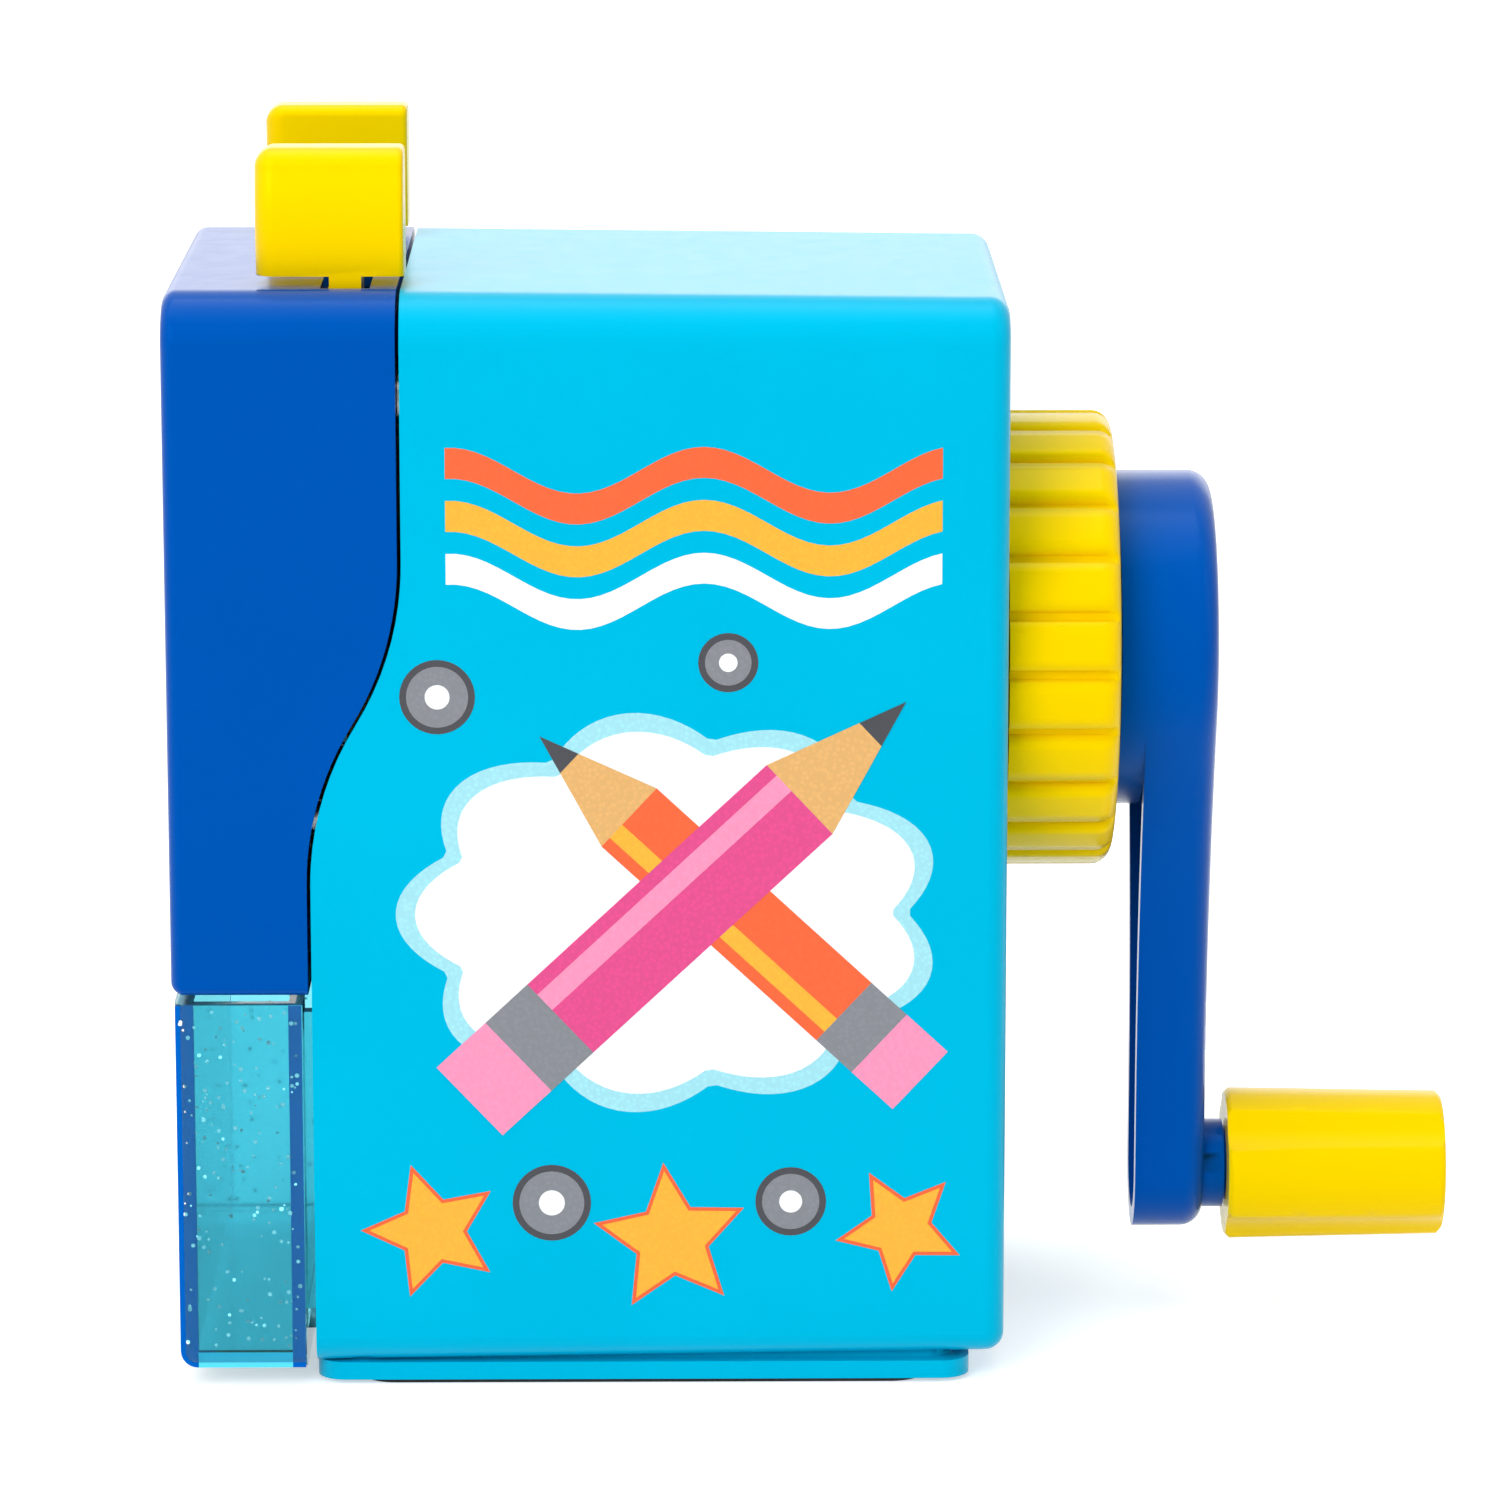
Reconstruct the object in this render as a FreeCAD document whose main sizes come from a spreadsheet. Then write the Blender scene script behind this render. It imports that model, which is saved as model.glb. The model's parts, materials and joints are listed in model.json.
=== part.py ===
"""Child's crank pencil sharpener: a clamping carriage, a geared helical cutter, a crank and a drawer.

Millimetres. +X runs from the pencil entry to the crank, +Y to the far side, +Z up.
The origin is the centre of the rubber pad's underside.
"""
import math
import os

import FreeCAD
import Part
import Sketcher

Vector = FreeCAD.Vector
Rotation = FreeCAD.Rotation

doc = FreeCAD.newDocument("pencil_sharpener")
sheet = doc.addObject("Spreadsheet::Sheet", "dims")

# Driving dimensions
SIZES = {
    # Body shells
    "front_reach": 49.0,
    "body_len": 87.0,
    "body_width": 60.0,
    "body_height": 115.6,
    "shell_bottom": 2.4,
    "wall": 2.2,
    "top_round": 5.6,
    "edge_round": 3.0,
    "inner_round": 1.0,
    "inner_top_round": 3.4,
    "front_round": 1.4,
    "rear_round": 2.0,
    "draft_angle": 0.65,
    "land_inset": 1.6,
    "seam": 0.4,
    "carriage_len_top": 24.0,
    "carriage_len_low": 14.3,
    "bend_top": 88.0,
    "bend_low": 54.0,
    "carriage_bottom": 42.3,
    # Base
    "plate_lift": 0.5,
    "plate_inset": 1.2,
    "plate_rear_inset": 3.6,
    "plate_round": 3.0,
    "pad_front_margin": 4.3,
    "pad_rear_margin": 4.4,
    "pad_side_margin": 0.6,
    "pad_thick": 1.0,
    "pad_round": 4.0,
    "base_screw_inset": 6.0,
    "base_screw_side": 8.2,
    "base_head_radius": 2.2,
    "base_head_height": 0.8,
    "base_shank_radius": 1.1,
    # Clearances
    "fit": 0.05,
    "free_gap": 0.3,
    # Pencil line and inner frame
    "axis_height": 74.5,
    "frame_front": 25.5,
    "frame_thick": 2.5,
    "frame_gap": 0.35,
    "frame_bottom": 43.6,
    "post_side": 7.0,
    "post_drop": 11.6,
    "post_rise": 3.2,
    "post_radius": 2.8,
    "frame_screw_radius": 1.3,
    "frame_screw_depth": 9.0,
    "frame_head_radius": 2.5,
    "frame_head_height": 1.5,
    "guide_bore": 4.6,
    "guide_radius": 6.6,
    "guide_flange": 8.6,
    "guide_flange_thick": 1.2,
    "guide_tip_gap": 0.6,
    # Guide rods and feed springs
    "rod_radius": 2.0,
    "rod_side": 7.5,
    "rod_height": 60.0,
    "rod_tail": 2.8,
    "rod_seat": 8.0,
    "rod_boss_radius": 4.4,
    "collar_radius": 4.2,
    "collar_len": 7.0,
    "clip_radius": 3.0,
    "clip_thick": 1.2,
    "clip_inset": 1.0,
    "feed_turns": 9.0,
    "feed_wire": 0.8,
    "feed_coil_radius": 2.75,
    # Carriage inside
    "mouth_radius": 5.5,
    "back_thick": 2.0,
    "back_inset": 1.1,
    "back_side_gap": 1.3,
    "back_drop": 14.6,
    "back_rise": 2.7,
    "back_post_side": 7.5,
    "back_post_drop": 21.6,
    "back_post_rise": 6.2,
    "back_post_radius": 3.0,
    "back_screw_radius": 1.2,
    "back_screw_depth": 8.0,
    "back_head_radius": 2.3,
    "back_head_height": 0.6,
    # Clamp levers
    "lever_thick": 3.3,
    "lever_gap": 0.3,
    "lever_reach": 16.9,
    "pivot_height": 50.5,
    "pivot_radius": 2.0,
    "eye_radius": 5.0,
    "lever_foot": 4.0,
    "squeeze_angle": 7.5,
    "jaw_face": 5.0,
    "jaw_below": 7.0,
    "jaw_above": 7.5,
    "lever_strap": 6.0,
    "cross_drop": 10.6,
    "neck_side": 7.0,
    "neck_width": 7.0,
    "slot_gap": 0.9,
    "tab_len": 15.3,
    "tab_lift": 1.1,
    "tab_height": 13.1,
    "tab_side": 7.0,
    "tab_thick": 6.4,
    "near_tab_shift": 0.2,
    "far_tab_shift": -0.9,
    "tab_bulge": 0.9,
    "tab_round": 2.2,
    "tab_edge": 1.2,
    "tab_front_round": 2.0,
    "tab_rear_round": 0.6,
    "pad_reach": 2.2,
    "pad_half": 4.6,
    "pad_notch": 0.9,
    "jaw_pad_len": 6.4,
    "seat_thick": 1.5,
    "seat_drop": 5.8,
    "seat_height": 6.6,
    "lever_turns": 8.0,
    "lever_wire": 0.8,
    "lever_coil_radius": 2.4,
    # Rear cap
    "cap_radius": 24.35,
    "cap_depth": 12.0,
    "cap_gap": 0.3,
    "cap_round": 2.2,
    "cap_wall": 2.7,
    "cap_web": 2.8,
    "skirt_radius": 20.4,
    "skirt_wall": 2.8,
    "skirt_len": 21.5,
    "boss_radius": 11.0,
    "bush_len": 8.0,
    "bush_radius": 8.5,
    "rib_count": 24.0,
    "groove_depth": 1.0,
    "groove_base": 1.3,
    "groove_mouth": 2.5,
    "groove_margin": 0.9,
    "lug_count": 3.0,
    "lug_width": 11.0,
    "lug_reach": 22.3,
    "lug_thick": 2.4,
    "lug_turn": 40.0,
    # Cutter and gears
    "cone_angle": 11.0,
    "tip_back": 18.0,
    "cutter_radius": 7.0,
    "cutter_start": 21.0,
    "cutter_end": 6.4,
    "cutter_teeth": 10.0,
    "cutter_depth": 1.1,
    "cutter_twist": 70.0,
    "trough_gap": 0.5,
    "gear_back": 12.0,
    "gear_width": 6.0,
    "pinion_teeth": 12.0,
    "ring_teeth": 23.0,
    "backlash": 0.24,
    "axle_radius": 1.5,
    "carrier_radius": 15.0,
    "carrier_face": 4.5,
    "carrier_neck": 7.6,
    "carrier_rear": 3.4,
    "journal_radius": 6.5,
    "shaft_radius": 3.0,
    "shaft_flat": 2.3,
    "shaft_hold": 6.9,
    # Crank
    "hub_radius": 17.9,
    "hub_gap": 0.4,
    "hub_depth": 10.3,
    "hub_wall": 2.2,
    "hub_round": 2.4,
    "hub_boss": 7.0,
    "arm_depth": 7.6,
    "arm_wall": 2.0,
    "arm_end_radius": 6.8,
    "arm_sweep": 100.0,
    "arm_rib": 2.2,
    "rib_top": 22.0,
    "rib_fall": 16.5,
    "crank_throw": 58.4,
    "screw_head_radius": 3.0,
    "screw_head_height": 2.2,
    "screw_shank_radius": 1.5,
    "screw_depth": 6.0,
    # Grip
    "stub_collar_radius": 4.8,
    "stub_collar_len": 2.2,
    "stub_radius": 4.0,
    "stub_len": 19.0,
    "stub_bead": 0.5,
    "bead_place": 15.2,
    "stub_bead_len": 1.6,
    "grip_len": 23.5,
    "grip_radius": 8.2,
    "grip_end_radius": 7.8,
    "grip_flute_radius": 6.0,
    "grip_flute_depth": 0.55,
    "grip_flute_turn": 4.0,
    "grip_flutes": 4.0,
    "grip_edge": 0.5,
    # Drawer
    "drawer_setback": 0.3,
    "drawer_block_len": 13.7,
    "drawer_bottom": 2.0,
    "drawer_top": 41.4,
    "drawer_wall": 1.8,
    "drawer_front_wall": 2.0,
    "drawer_rear_gap": 9.0,
    "drawer_step": 1.5,
    "drawer_round": 1.8,
}


class Size:
    """A number that keeps the expression on the sheet's cells that it was worked out from."""

    def __init__(self, value, text):
        self.value = float(value)
        self.text = text

    def __add__(self, other):
        other = as_size(other)
        return Size(self.value + other.value, "(%s + %s)" % (self.text, other.text))

    def __radd__(self, other):
        return as_size(other) + self

    def __sub__(self, other):
        other = as_size(other)
        return Size(self.value - other.value, "(%s - %s)" % (self.text, other.text))

    def __rsub__(self, other):
        return as_size(other) - self

    def __mul__(self, other):
        other = as_size(other)
        return Size(self.value * other.value, "(%s * %s)" % (self.text, other.text))

    def __rmul__(self, other):
        return as_size(other) * self

    def __truediv__(self, other):
        other = as_size(other)
        return Size(self.value / other.value, "(%s / %s)" % (self.text, other.text))

    def __neg__(self):
        return Size(-self.value, "(-1 * %s)" % self.text)

    def __float__(self):
        return self.value


def as_size(number):
    if isinstance(number, Size):
        return number
    return Size(number, "(%r)" % float(number))


def tan_of(angle):
    return Size(math.tan(math.radians(angle.value)), "tan(%s)" % angle.text)


def cos_of(angle):
    return Size(math.cos(math.radians(angle.value)), "cos(%s)" % angle.text)


def sin_of(angle):
    return Size(math.sin(math.radians(angle.value)), "sin(%s)" % angle.text)


class Dimensions:
    """Fills the sheet and offers each cell as a Size of the same name."""

    def __init__(self, sizes):
        for row, (alias, value) in enumerate(sizes.items(), start=1):
            sheet.set("A%d" % row, alias)
            sheet.set("B%d" % row, str(value))
            sheet.setAlias("B%d" % row, alias)
        doc.recompute()
        for alias in sizes:
            setattr(self, alias, Size(getattr(sheet, alias), "dims." + alias))


d = Dimensions(SIZES)

# Places worked out from the driving dimensions
FRONT_X = -d.front_reach
REAR_X = d.body_len - d.front_reach
REAR_INSIDE_X = REAR_X - d.wall
CARRIAGE_TOP_X = FRONT_X + d.carriage_len_top
CARRIAGE_LOW_X = FRONT_X + d.carriage_len_low
SHELL_TOP_X = CARRIAGE_TOP_X + d.seam
SHELL_LOW_X = CARRIAGE_LOW_X + d.seam
HALF_WIDTH = d.body_width / 2
PLATE_HALF = HALF_WIDTH - d.plate_inset
PLATE_END_X = REAR_X - d.plate_rear_inset
PAD_FRONT_X = SHELL_LOW_X + d.pad_front_margin
PAD_REAR_X = PLATE_END_X - d.pad_rear_margin
PAD_HALF = PLATE_HALF - d.pad_side_margin
POST_Y = HALF_WIDTH - d.post_side
POST_TOP_Z = d.body_height - d.post_drop
POST_LOW_Z = d.frame_bottom + d.post_rise
ROD_Y = HALF_WIDTH - d.rod_side
BACK_POST_Y = HALF_WIDTH - d.back_post_side
BACK_TOP_Z = d.body_height - d.back_drop
BACK_LOW_Z = d.carriage_bottom + d.back_rise
BACK_POST_TOP_Z = d.body_height - d.back_post_drop
BACK_POST_LOW_Z = d.carriage_bottom + d.back_post_rise
NECK_OUTER = HALF_WIDTH - d.neck_side
NECK_INNER = NECK_OUTER - d.neck_width
CROSS_Z = d.body_height - d.cross_drop
JAW_LOW_Z = d.axis_height - d.jaw_below
JAW_TOP_Z = d.axis_height + d.jaw_above
TAB_OUTER = HALF_WIDTH - d.tab_side
TAB_INNER = TAB_OUTER - d.tab_thick
TAB_BOTTOM_Z = d.body_height + d.tab_lift
TAB_TOP_Z = TAB_BOTTOM_Z + d.tab_height
SEAT_TOP_Z = d.body_height - d.seat_drop
SEAT_LOW_Z = SEAT_TOP_Z - d.seat_height
FLOOR_Z = d.shell_bottom + d.wall
FRAME_X = FRONT_X + d.frame_front
FRAME_BACK_X = FRAME_X + d.frame_thick
COLLAR_END_X = FRAME_BACK_X + d.collar_len
ROD_END_X = REAR_INSIDE_X - d.rod_tail
CLIP_X = ROD_END_X - d.clip_inset - d.clip_thick
BACK_REAR_X = CARRIAGE_TOP_X - d.back_inset
BACK_X = BACK_REAR_X - d.back_thick
LEVER_SPLIT_X = FRONT_X + d.lever_reach
NEAR_LEVER_X = LEVER_SPLIT_X + d.lever_gap / 2
FAR_LEVER_X = LEVER_SPLIT_X - d.lever_gap / 2 - d.lever_thick
TAN_CONE = tan_of(d.cone_angle)
TIP_X = REAR_X - d.tip_back
CAP_FACE_X = REAR_X + d.cap_depth
APEX_X = TIP_X + d.cutter_radius / sin_of(d.cone_angle)
CUTTER_START_X = TIP_X - d.cutter_start
CUTTER_END_X = TIP_X + d.cutter_end
GEAR_X = TIP_X + d.gear_back
GEAR_START_X = GEAR_X - d.gear_width / 2
GEAR_END_X = GEAR_X + d.gear_width / 2
CARRIER_FACE_X = CUTTER_START_X - d.carrier_face - d.free_gap
CARRIER_BODY_END_X = CUTTER_END_X + d.free_gap
CARRIER_REAR_X = GEAR_END_X + d.free_gap * 3
JOURNAL_X = CARRIER_REAR_X + d.carrier_rear
CAP_BACK_X = REAR_X + d.cap_gap
CAP_WEB_X = CAP_FACE_X - d.cap_web
BUSH_X = CAP_FACE_X - d.bush_len
HUB_X = CAP_FACE_X + d.hub_gap
HUB_FACE_X = HUB_X + d.hub_depth
ARM_X = HUB_FACE_X - d.arm_depth
GRIP_Z = d.axis_height - d.crank_throw
GRIP_X = HUB_FACE_X + d.stub_collar_len + d.free_gap
DRAWER_X = FRONT_X + d.drawer_setback
DRAWER_STEP_X = DRAWER_X + d.drawer_block_len - d.drawer_setback
DRAWER_END_X = REAR_X - d.drawer_rear_gap
DRAWER_TAPER = (DRAWER_END_X - SHELL_LOW_X) * tan_of(d.draft_angle) + d.free_gap
DRAWER_HALF = HALF_WIDTH - d.wall - DRAWER_TAPER
DRAWER_FLOOR_Z = FLOOR_Z + DRAWER_TAPER

nodes = []


def bind(thing, prop, size):
    thing.setExpression(prop, as_size(size).text)


def keep(thing, label):
    """Names a finished sub-part and lists it for writing."""
    thing.Label = label
    nodes.append(thing)
    return thing


def new_body(name):
    return doc.addObject("PartDesign::Body", name)


def new_sketch(body, plane, depth=0.0, rise=0.0):
    """A sketch on one of the body's planes, depth along the plane's normal, rise along its own y."""
    sketch = body.newObject("Sketcher::SketchObject", "sketch")
    support = [f for f in body.Origin.OriginFeatures if f.Role == plane + "_Plane"][0]
    sketch.AttachmentSupport = (support, "")
    sketch.MapMode = "FlatFace"
    bind(sketch, "AttachmentOffset.Base.z", depth)
    bind(sketch, "AttachmentOffset.Base.y", rise)
    return sketch


def hold_point(sketch, geometry, position, x, y):
    """Ties a sketch point to two sizes measured from the sketch's origin."""
    for kind, size in (("DistanceX", as_size(x)), ("DistanceY", as_size(y))):
        index = sketch.addConstraint(Sketcher.Constraint(kind, -1, 1, geometry, position, size.value))
        name = "%s_%d" % (kind, index)
        sketch.renameConstraint(index, name)
        bind(sketch, "Constraints." + name, size)


def hold_radius(sketch, geometry, radius):
    index = sketch.addConstraint(Sketcher.Constraint("Radius", geometry, as_size(radius).value))
    name = "radius_%d" % index
    sketch.renameConstraint(index, name)
    bind(sketch, "Constraints." + name, radius)


def add_circle(sketch, x, y, radius):
    x, y, radius = as_size(x), as_size(y), as_size(radius)
    circle = Part.Circle(Vector(x.value, y.value, 0), Vector(0, 0, 1), radius.value)
    index = sketch.addGeometry(circle, False)
    hold_point(sketch, index, 3, x, y)
    hold_radius(sketch, index, radius)


def arc_between(start, end, radius, turn):
    """The short arc from start to end: turn 1 runs anticlockwise, turn -1 clockwise."""
    chord = end - start
    middle = (start + end) * 0.5
    side = Vector(-chord.y, chord.x, 0).normalize()
    reach = math.sqrt(max(radius * radius - chord.Length ** 2 / 4, 0))
    centre = middle + side * (reach * turn)
    first, last = (start, end) if turn > 0 else (end, start)
    angle_first = math.atan2(first.y - centre.y, first.x - centre.x)
    angle_last = math.atan2(last.y - centre.y, last.x - centre.x)
    while angle_last < angle_first:
        angle_last += 2 * math.pi
    return Part.ArcOfCircle(Part.Circle(centre, Vector(0, 0, 1), radius), angle_first, angle_last)


def add_outline(sketch, corners):
    """A closed outline. A corner is (x, y), or (x, y, radius, turn) where an arc leads on from it."""
    points = [Vector(as_size(c[0]).value, as_size(c[1]).value, 0) for c in corners]
    ends = []
    for i, corner in enumerate(corners):
        start, end = points[i], points[(i + 1) % len(points)]
        if len(corner) == 2:
            index = sketch.addGeometry(Part.LineSegment(start, end), False)
            ends.append((index, 1, 2))
        else:
            radius, turn = as_size(corner[2]), corner[3]
            index = sketch.addGeometry(arc_between(start, end, radius.value, turn), False)
            ends.append((index, 1, 2) if turn > 0 else (index, 2, 1))
    for i, (index, first, last) in enumerate(ends):
        following = ends[(i + 1) % len(ends)]
        sketch.addConstraint(Sketcher.Constraint("Coincident", index, last, following[0], following[1]))
    for (index, first, last), corner in zip(ends, corners):
        hold_point(sketch, index, first, corner[0], corner[1])
        if len(corner) > 2:
            hold_radius(sketch, index, corner[2])


def rounded_box(low_x, high_x, low_y, high_y, radius):
    """Corners of a rectangle with rounded corners, anticlockwise."""
    return [
        (low_x + radius, low_y),
        (high_x - radius, low_y, radius, 1),
        (high_x, low_y + radius),
        (high_x, high_y - radius, radius, 1),
        (high_x - radius, high_y),
        (low_x + radius, high_y, radius, 1),
        (low_x, high_y - radius),
        (low_x, low_y + radius, radius, 1),
    ]


def shell_outline(half, low, top, low_round, top_round):
    """A shell seen along X, anticlockwise, with its own rounding above and below."""
    return [
        (low_round - half, low),
        (half - low_round, low, low_round, 1),
        (half, low + low_round),
        (half, top - top_round, top_round, 1),
        (half - top_round, top),
        (top_round - half, top, top_round, 1),
        (-half, top - top_round),
        (-half, low + low_round, low_round, 1),
    ]


def box(low_x, high_x, low_y, high_y):
    return [(low_x, low_y), (high_x, low_y), (high_x, high_y), (low_x, high_y)]


def add_pad(body, sketch, length, centred=False, reverse=False):
    pad = body.newObject("PartDesign::Pad", "pad")
    pad.Profile = sketch
    pad.Midplane = centred
    pad.Reversed = reverse
    bind(pad, "Length", length)
    doc.recompute()
    return pad


def add_pocket(body, sketch, length, centred=False, reverse=False):
    """Cuts the sketch out of the body, and stops if nothing was cut."""
    before = body.Tip.Shape.Volume
    pocket = body.newObject("PartDesign::Pocket", "pocket")
    pocket.Profile = sketch
    pocket.Midplane = centred
    pocket.Reversed = reverse
    bind(pocket, "Length", length)
    doc.recompute()
    if not body.Shape.Volume < before - 1e-6:
        raise RuntimeError("a pocket in %s cut nothing" % body.Name)
    return pocket


def add_revolution(body, sketch):
    """Turns the sketch about its own x axis."""
    feature = body.newObject("PartDesign::Revolution", "turned")
    feature.Profile = sketch
    feature.ReferenceAxis = (sketch, ["H_Axis"])
    feature.Angle = 360.0
    doc.recompute()
    return feature


def add_ring_pattern(body, feature, sketch, count):
    """Repeats a feature round the sketch's normal."""
    pattern = body.newObject("PartDesign::PolarPattern", "ring_pattern")
    pattern.Originals = [feature]
    pattern.Axis = (sketch, ["N_Axis"])
    pattern.Angle = 360.0
    bind(pattern, "Occurrences", count)
    body.Tip = pattern
    doc.recompute()
    return pattern


def round_edges(body, radius, wanted, kind="Fillet"):
    """Rounds or chamfers the edges of the body's last feature that the wanted function picks."""
    base = body.Tip
    names = []
    for number, edge in enumerate(base.Shape.Edges, start=1):
        if wanted(edge):
            names.append("Edge%d" % number)
    if not names:
        raise RuntimeError("no edge to round in %s" % body.Name)
    feature = body.newObject("PartDesign::" + kind, "edge_round")
    feature.Base = (base, names)
    bind(feature, "Radius" if kind == "Fillet" else "Size", radius)
    doc.recompute()
    return feature


def near(value, target, reach=0.02):
    return abs(value - float(as_size(target))) < reach


def edge_in_plane(edge, axis, place):
    """True where the whole edge lies at one place along an axis."""
    limits = edge.BoundBox
    low = getattr(limits, axis + "Min")
    high = getattr(limits, axis + "Max")
    return near(low, place) and near(high, place)


def rod_along_x(name, radius, start, length, y, z):
    rod = doc.addObject("Part::Cylinder", name)
    rod.Placement = FreeCAD.Placement(Vector(), Rotation(Vector(0, 1, 0), 90))
    bind(rod, "Radius", radius)
    bind(rod, "Height", length)
    bind(rod, "Placement.Base.x", start)
    bind(rod, "Placement.Base.y", y)
    bind(rod, "Placement.Base.z", z)
    return rod


def rod_along_z(name, radius, start, length, x, y):
    rod = doc.addObject("Part::Cylinder", name)
    bind(rod, "Radius", radius)
    bind(rod, "Height", length)
    bind(rod, "Placement.Base.x", x)
    bind(rod, "Placement.Base.y", y)
    bind(rod, "Placement.Base.z", start)
    return rod


def fuse(name, pieces):
    joined = doc.addObject("Part::MultiFuse", name)
    joined.Shapes = pieces
    doc.recompute()
    return joined


def cut(name, base, tool):
    result = doc.addObject("Part::Cut", name)
    result.Base = base
    result.Tool = tool
    doc.recompute()
    return result


def solid_feature(label, shape):
    feature = doc.addObject("Part::Feature", label)
    feature.Shape = shape
    feature.Placement = FreeCAD.Placement()
    return keep(feature, label)


def split_curve(top_x, low_x):
    """The S-shaped seam from its upper end to its lower end, as two equal arcs."""
    offset = top_x - low_x
    drop = d.bend_top - d.bend_low
    radius = (drop * drop + offset * offset) / (offset * 4)
    middle_x = (top_x + low_x) / 2
    middle_z = (d.bend_top + d.bend_low) / 2
    return [(top_x, d.bend_top, radius, -1), (middle_x, middle_z, radius, 1), (low_x, d.bend_low)]


def taper_at(x):
    """How far the drafted shell has drawn in by a place along X."""
    return (x - SHELL_LOW_X) * tan_of(d.draft_angle)


# Fixed body
def housing_shell():
    body = new_body("housing_shell")
    mould = new_sketch(body, "YZ", depth=SHELL_LOW_X)
    add_outline(mould, shell_outline(HALF_WIDTH, d.shell_bottom, d.body_height, d.edge_round, d.top_round))
    pad = add_pad(body, mould, REAR_X - SHELL_LOW_X)
    bind(pad, "TaperAngle", -d.draft_angle)
    doc.recompute()
    round_edges(body, d.rear_round, lambda e: edge_in_plane(e, "X", REAR_X))
    core = new_sketch(body, "YZ", depth=SHELL_LOW_X)
    half = HALF_WIDTH - d.wall
    add_outline(core, shell_outline(half, d.shell_bottom + d.wall, d.body_height - d.wall, d.inner_round,
                                    d.inner_top_round))
    pocket = add_pocket(body, core, REAR_INSIDE_X - SHELL_LOW_X, reverse=True)
    bind(pocket, "TaperAngle", -d.draft_angle)
    doc.recompute()
    land = new_sketch(body, "XY", depth=d.shell_bottom)
    half = PLATE_HALF - d.land_inset
    add_outline(land, rounded_box(SHELL_LOW_X + d.land_inset, PLATE_END_X - d.land_inset, -half, half,
                                  d.plate_round))
    add_pad(body, land, d.wall)
    seam = new_sketch(body, "XZ")
    ahead = SHELL_LOW_X - d.wall
    over = d.body_height + d.wall
    add_outline(seam, [(ahead, over), (SHELL_TOP_X, over)] + split_curve(SHELL_TOP_X, SHELL_LOW_X)
                + [(ahead, d.bend_low)])
    add_pocket(body, seam, d.body_width * 2, centred=True)
    posts = new_sketch(body, "YZ", depth=FRAME_BACK_X)
    for side in (-1, 1):
        for height in (POST_TOP_Z, POST_LOW_Z):
            add_circle(posts, POST_Y * side, height, d.post_radius)
    add_pad(body, posts, REAR_INSIDE_X - FRAME_BACK_X + d.wall / 2)
    pilots = new_sketch(body, "YZ", depth=FRAME_BACK_X)
    for side in (-1, 1):
        for height in (POST_TOP_Z, POST_LOW_Z):
            add_circle(pilots, POST_Y * side, height, d.frame_screw_radius + d.fit)
    add_pocket(body, pilots, d.frame_screw_depth + d.free_gap, reverse=True)
    hole = new_sketch(body, "YZ", depth=REAR_INSIDE_X - d.wall / 2, rise=d.axis_height)
    add_circle(hole, 0, 0, d.skirt_radius + d.free_gap)
    add_pocket(body, hole, d.wall * 2, reverse=True)
    for turn in range(int(d.lug_count.value)):
        notch = new_sketch(body, "YZ", depth=REAR_INSIDE_X - d.wall / 2, rise=d.axis_height)
        angle = 90 + d.lug_turn + as_size(360) / d.lug_count * turn
        add_outline(notch, turned_block(angle, d.lug_width / 2 + d.free_gap * 2, d.skirt_radius / 2,
                                        d.lug_reach + d.free_gap * 2))
        add_pocket(body, notch, d.wall * 2, reverse=True)
    screws = new_sketch(body, "XY", depth=d.shell_bottom)
    for x, y in base_screw_places():
        add_circle(screws, x, y, d.base_shank_radius + d.fit)
    add_pocket(body, screws, d.wall, reverse=True)
    return keep(body, "housing_shell")


def turned_block(angle, half, inner, outer):
    """Corners of a block that stands out from the axis at an angle."""
    corners = []
    for across, out in ((-1, inner), (-1, outer), (1, outer), (1, inner)):
        side = half * (-across)
        across_at = cos_of(angle) * out - sin_of(angle) * side
        height_at = sin_of(angle) * out + cos_of(angle) * side
        corners.append((across_at, height_at))
    return corners[::-1]


def base_screw_places():
    across = PAD_HALF - d.base_screw_side
    places = (PAD_FRONT_X + d.base_screw_inset, PAD_REAR_X - d.base_screw_inset)
    return [(x, across * side) for x in places for side in (-1, 1)]


def base_plate():
    body = new_body("base_plate")
    plan = new_sketch(body, "XY", depth=d.plate_lift)
    add_outline(plan, rounded_box(SHELL_LOW_X, PLATE_END_X, -PLATE_HALF, PLATE_HALF, d.plate_round))
    add_pad(body, plan, d.shell_bottom - d.plate_lift)
    recess = new_sketch(body, "XY", depth=d.plate_lift)
    reach = d.free_gap / 2
    add_outline(recess, rounded_box(PAD_FRONT_X - reach, PAD_REAR_X + reach, -PAD_HALF - reach,
                                    PAD_HALF + reach, d.pad_round))
    add_pocket(body, recess, d.pad_thick - d.plate_lift, reverse=True)
    heads = new_sketch(body, "XY", depth=d.pad_thick)
    holes = new_sketch(body, "XY", depth=d.pad_thick)
    for x, y in base_screw_places():
        add_circle(heads, x, y, d.base_head_radius + d.fit)
        add_circle(holes, x, y, d.base_shank_radius + d.fit)
    add_pocket(body, heads, d.base_head_height, reverse=True)
    add_pocket(body, holes, d.shell_bottom, reverse=True)
    return keep(body, "base_plate")


def base_pad():
    body = new_body("base_pad")
    plan = new_sketch(body, "XY")
    add_outline(plan, rounded_box(PAD_FRONT_X, PAD_REAR_X, -PAD_HALF, PAD_HALF, d.pad_round))
    add_pad(body, plan, d.pad_thick)
    return keep(body, "base_pad")


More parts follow.
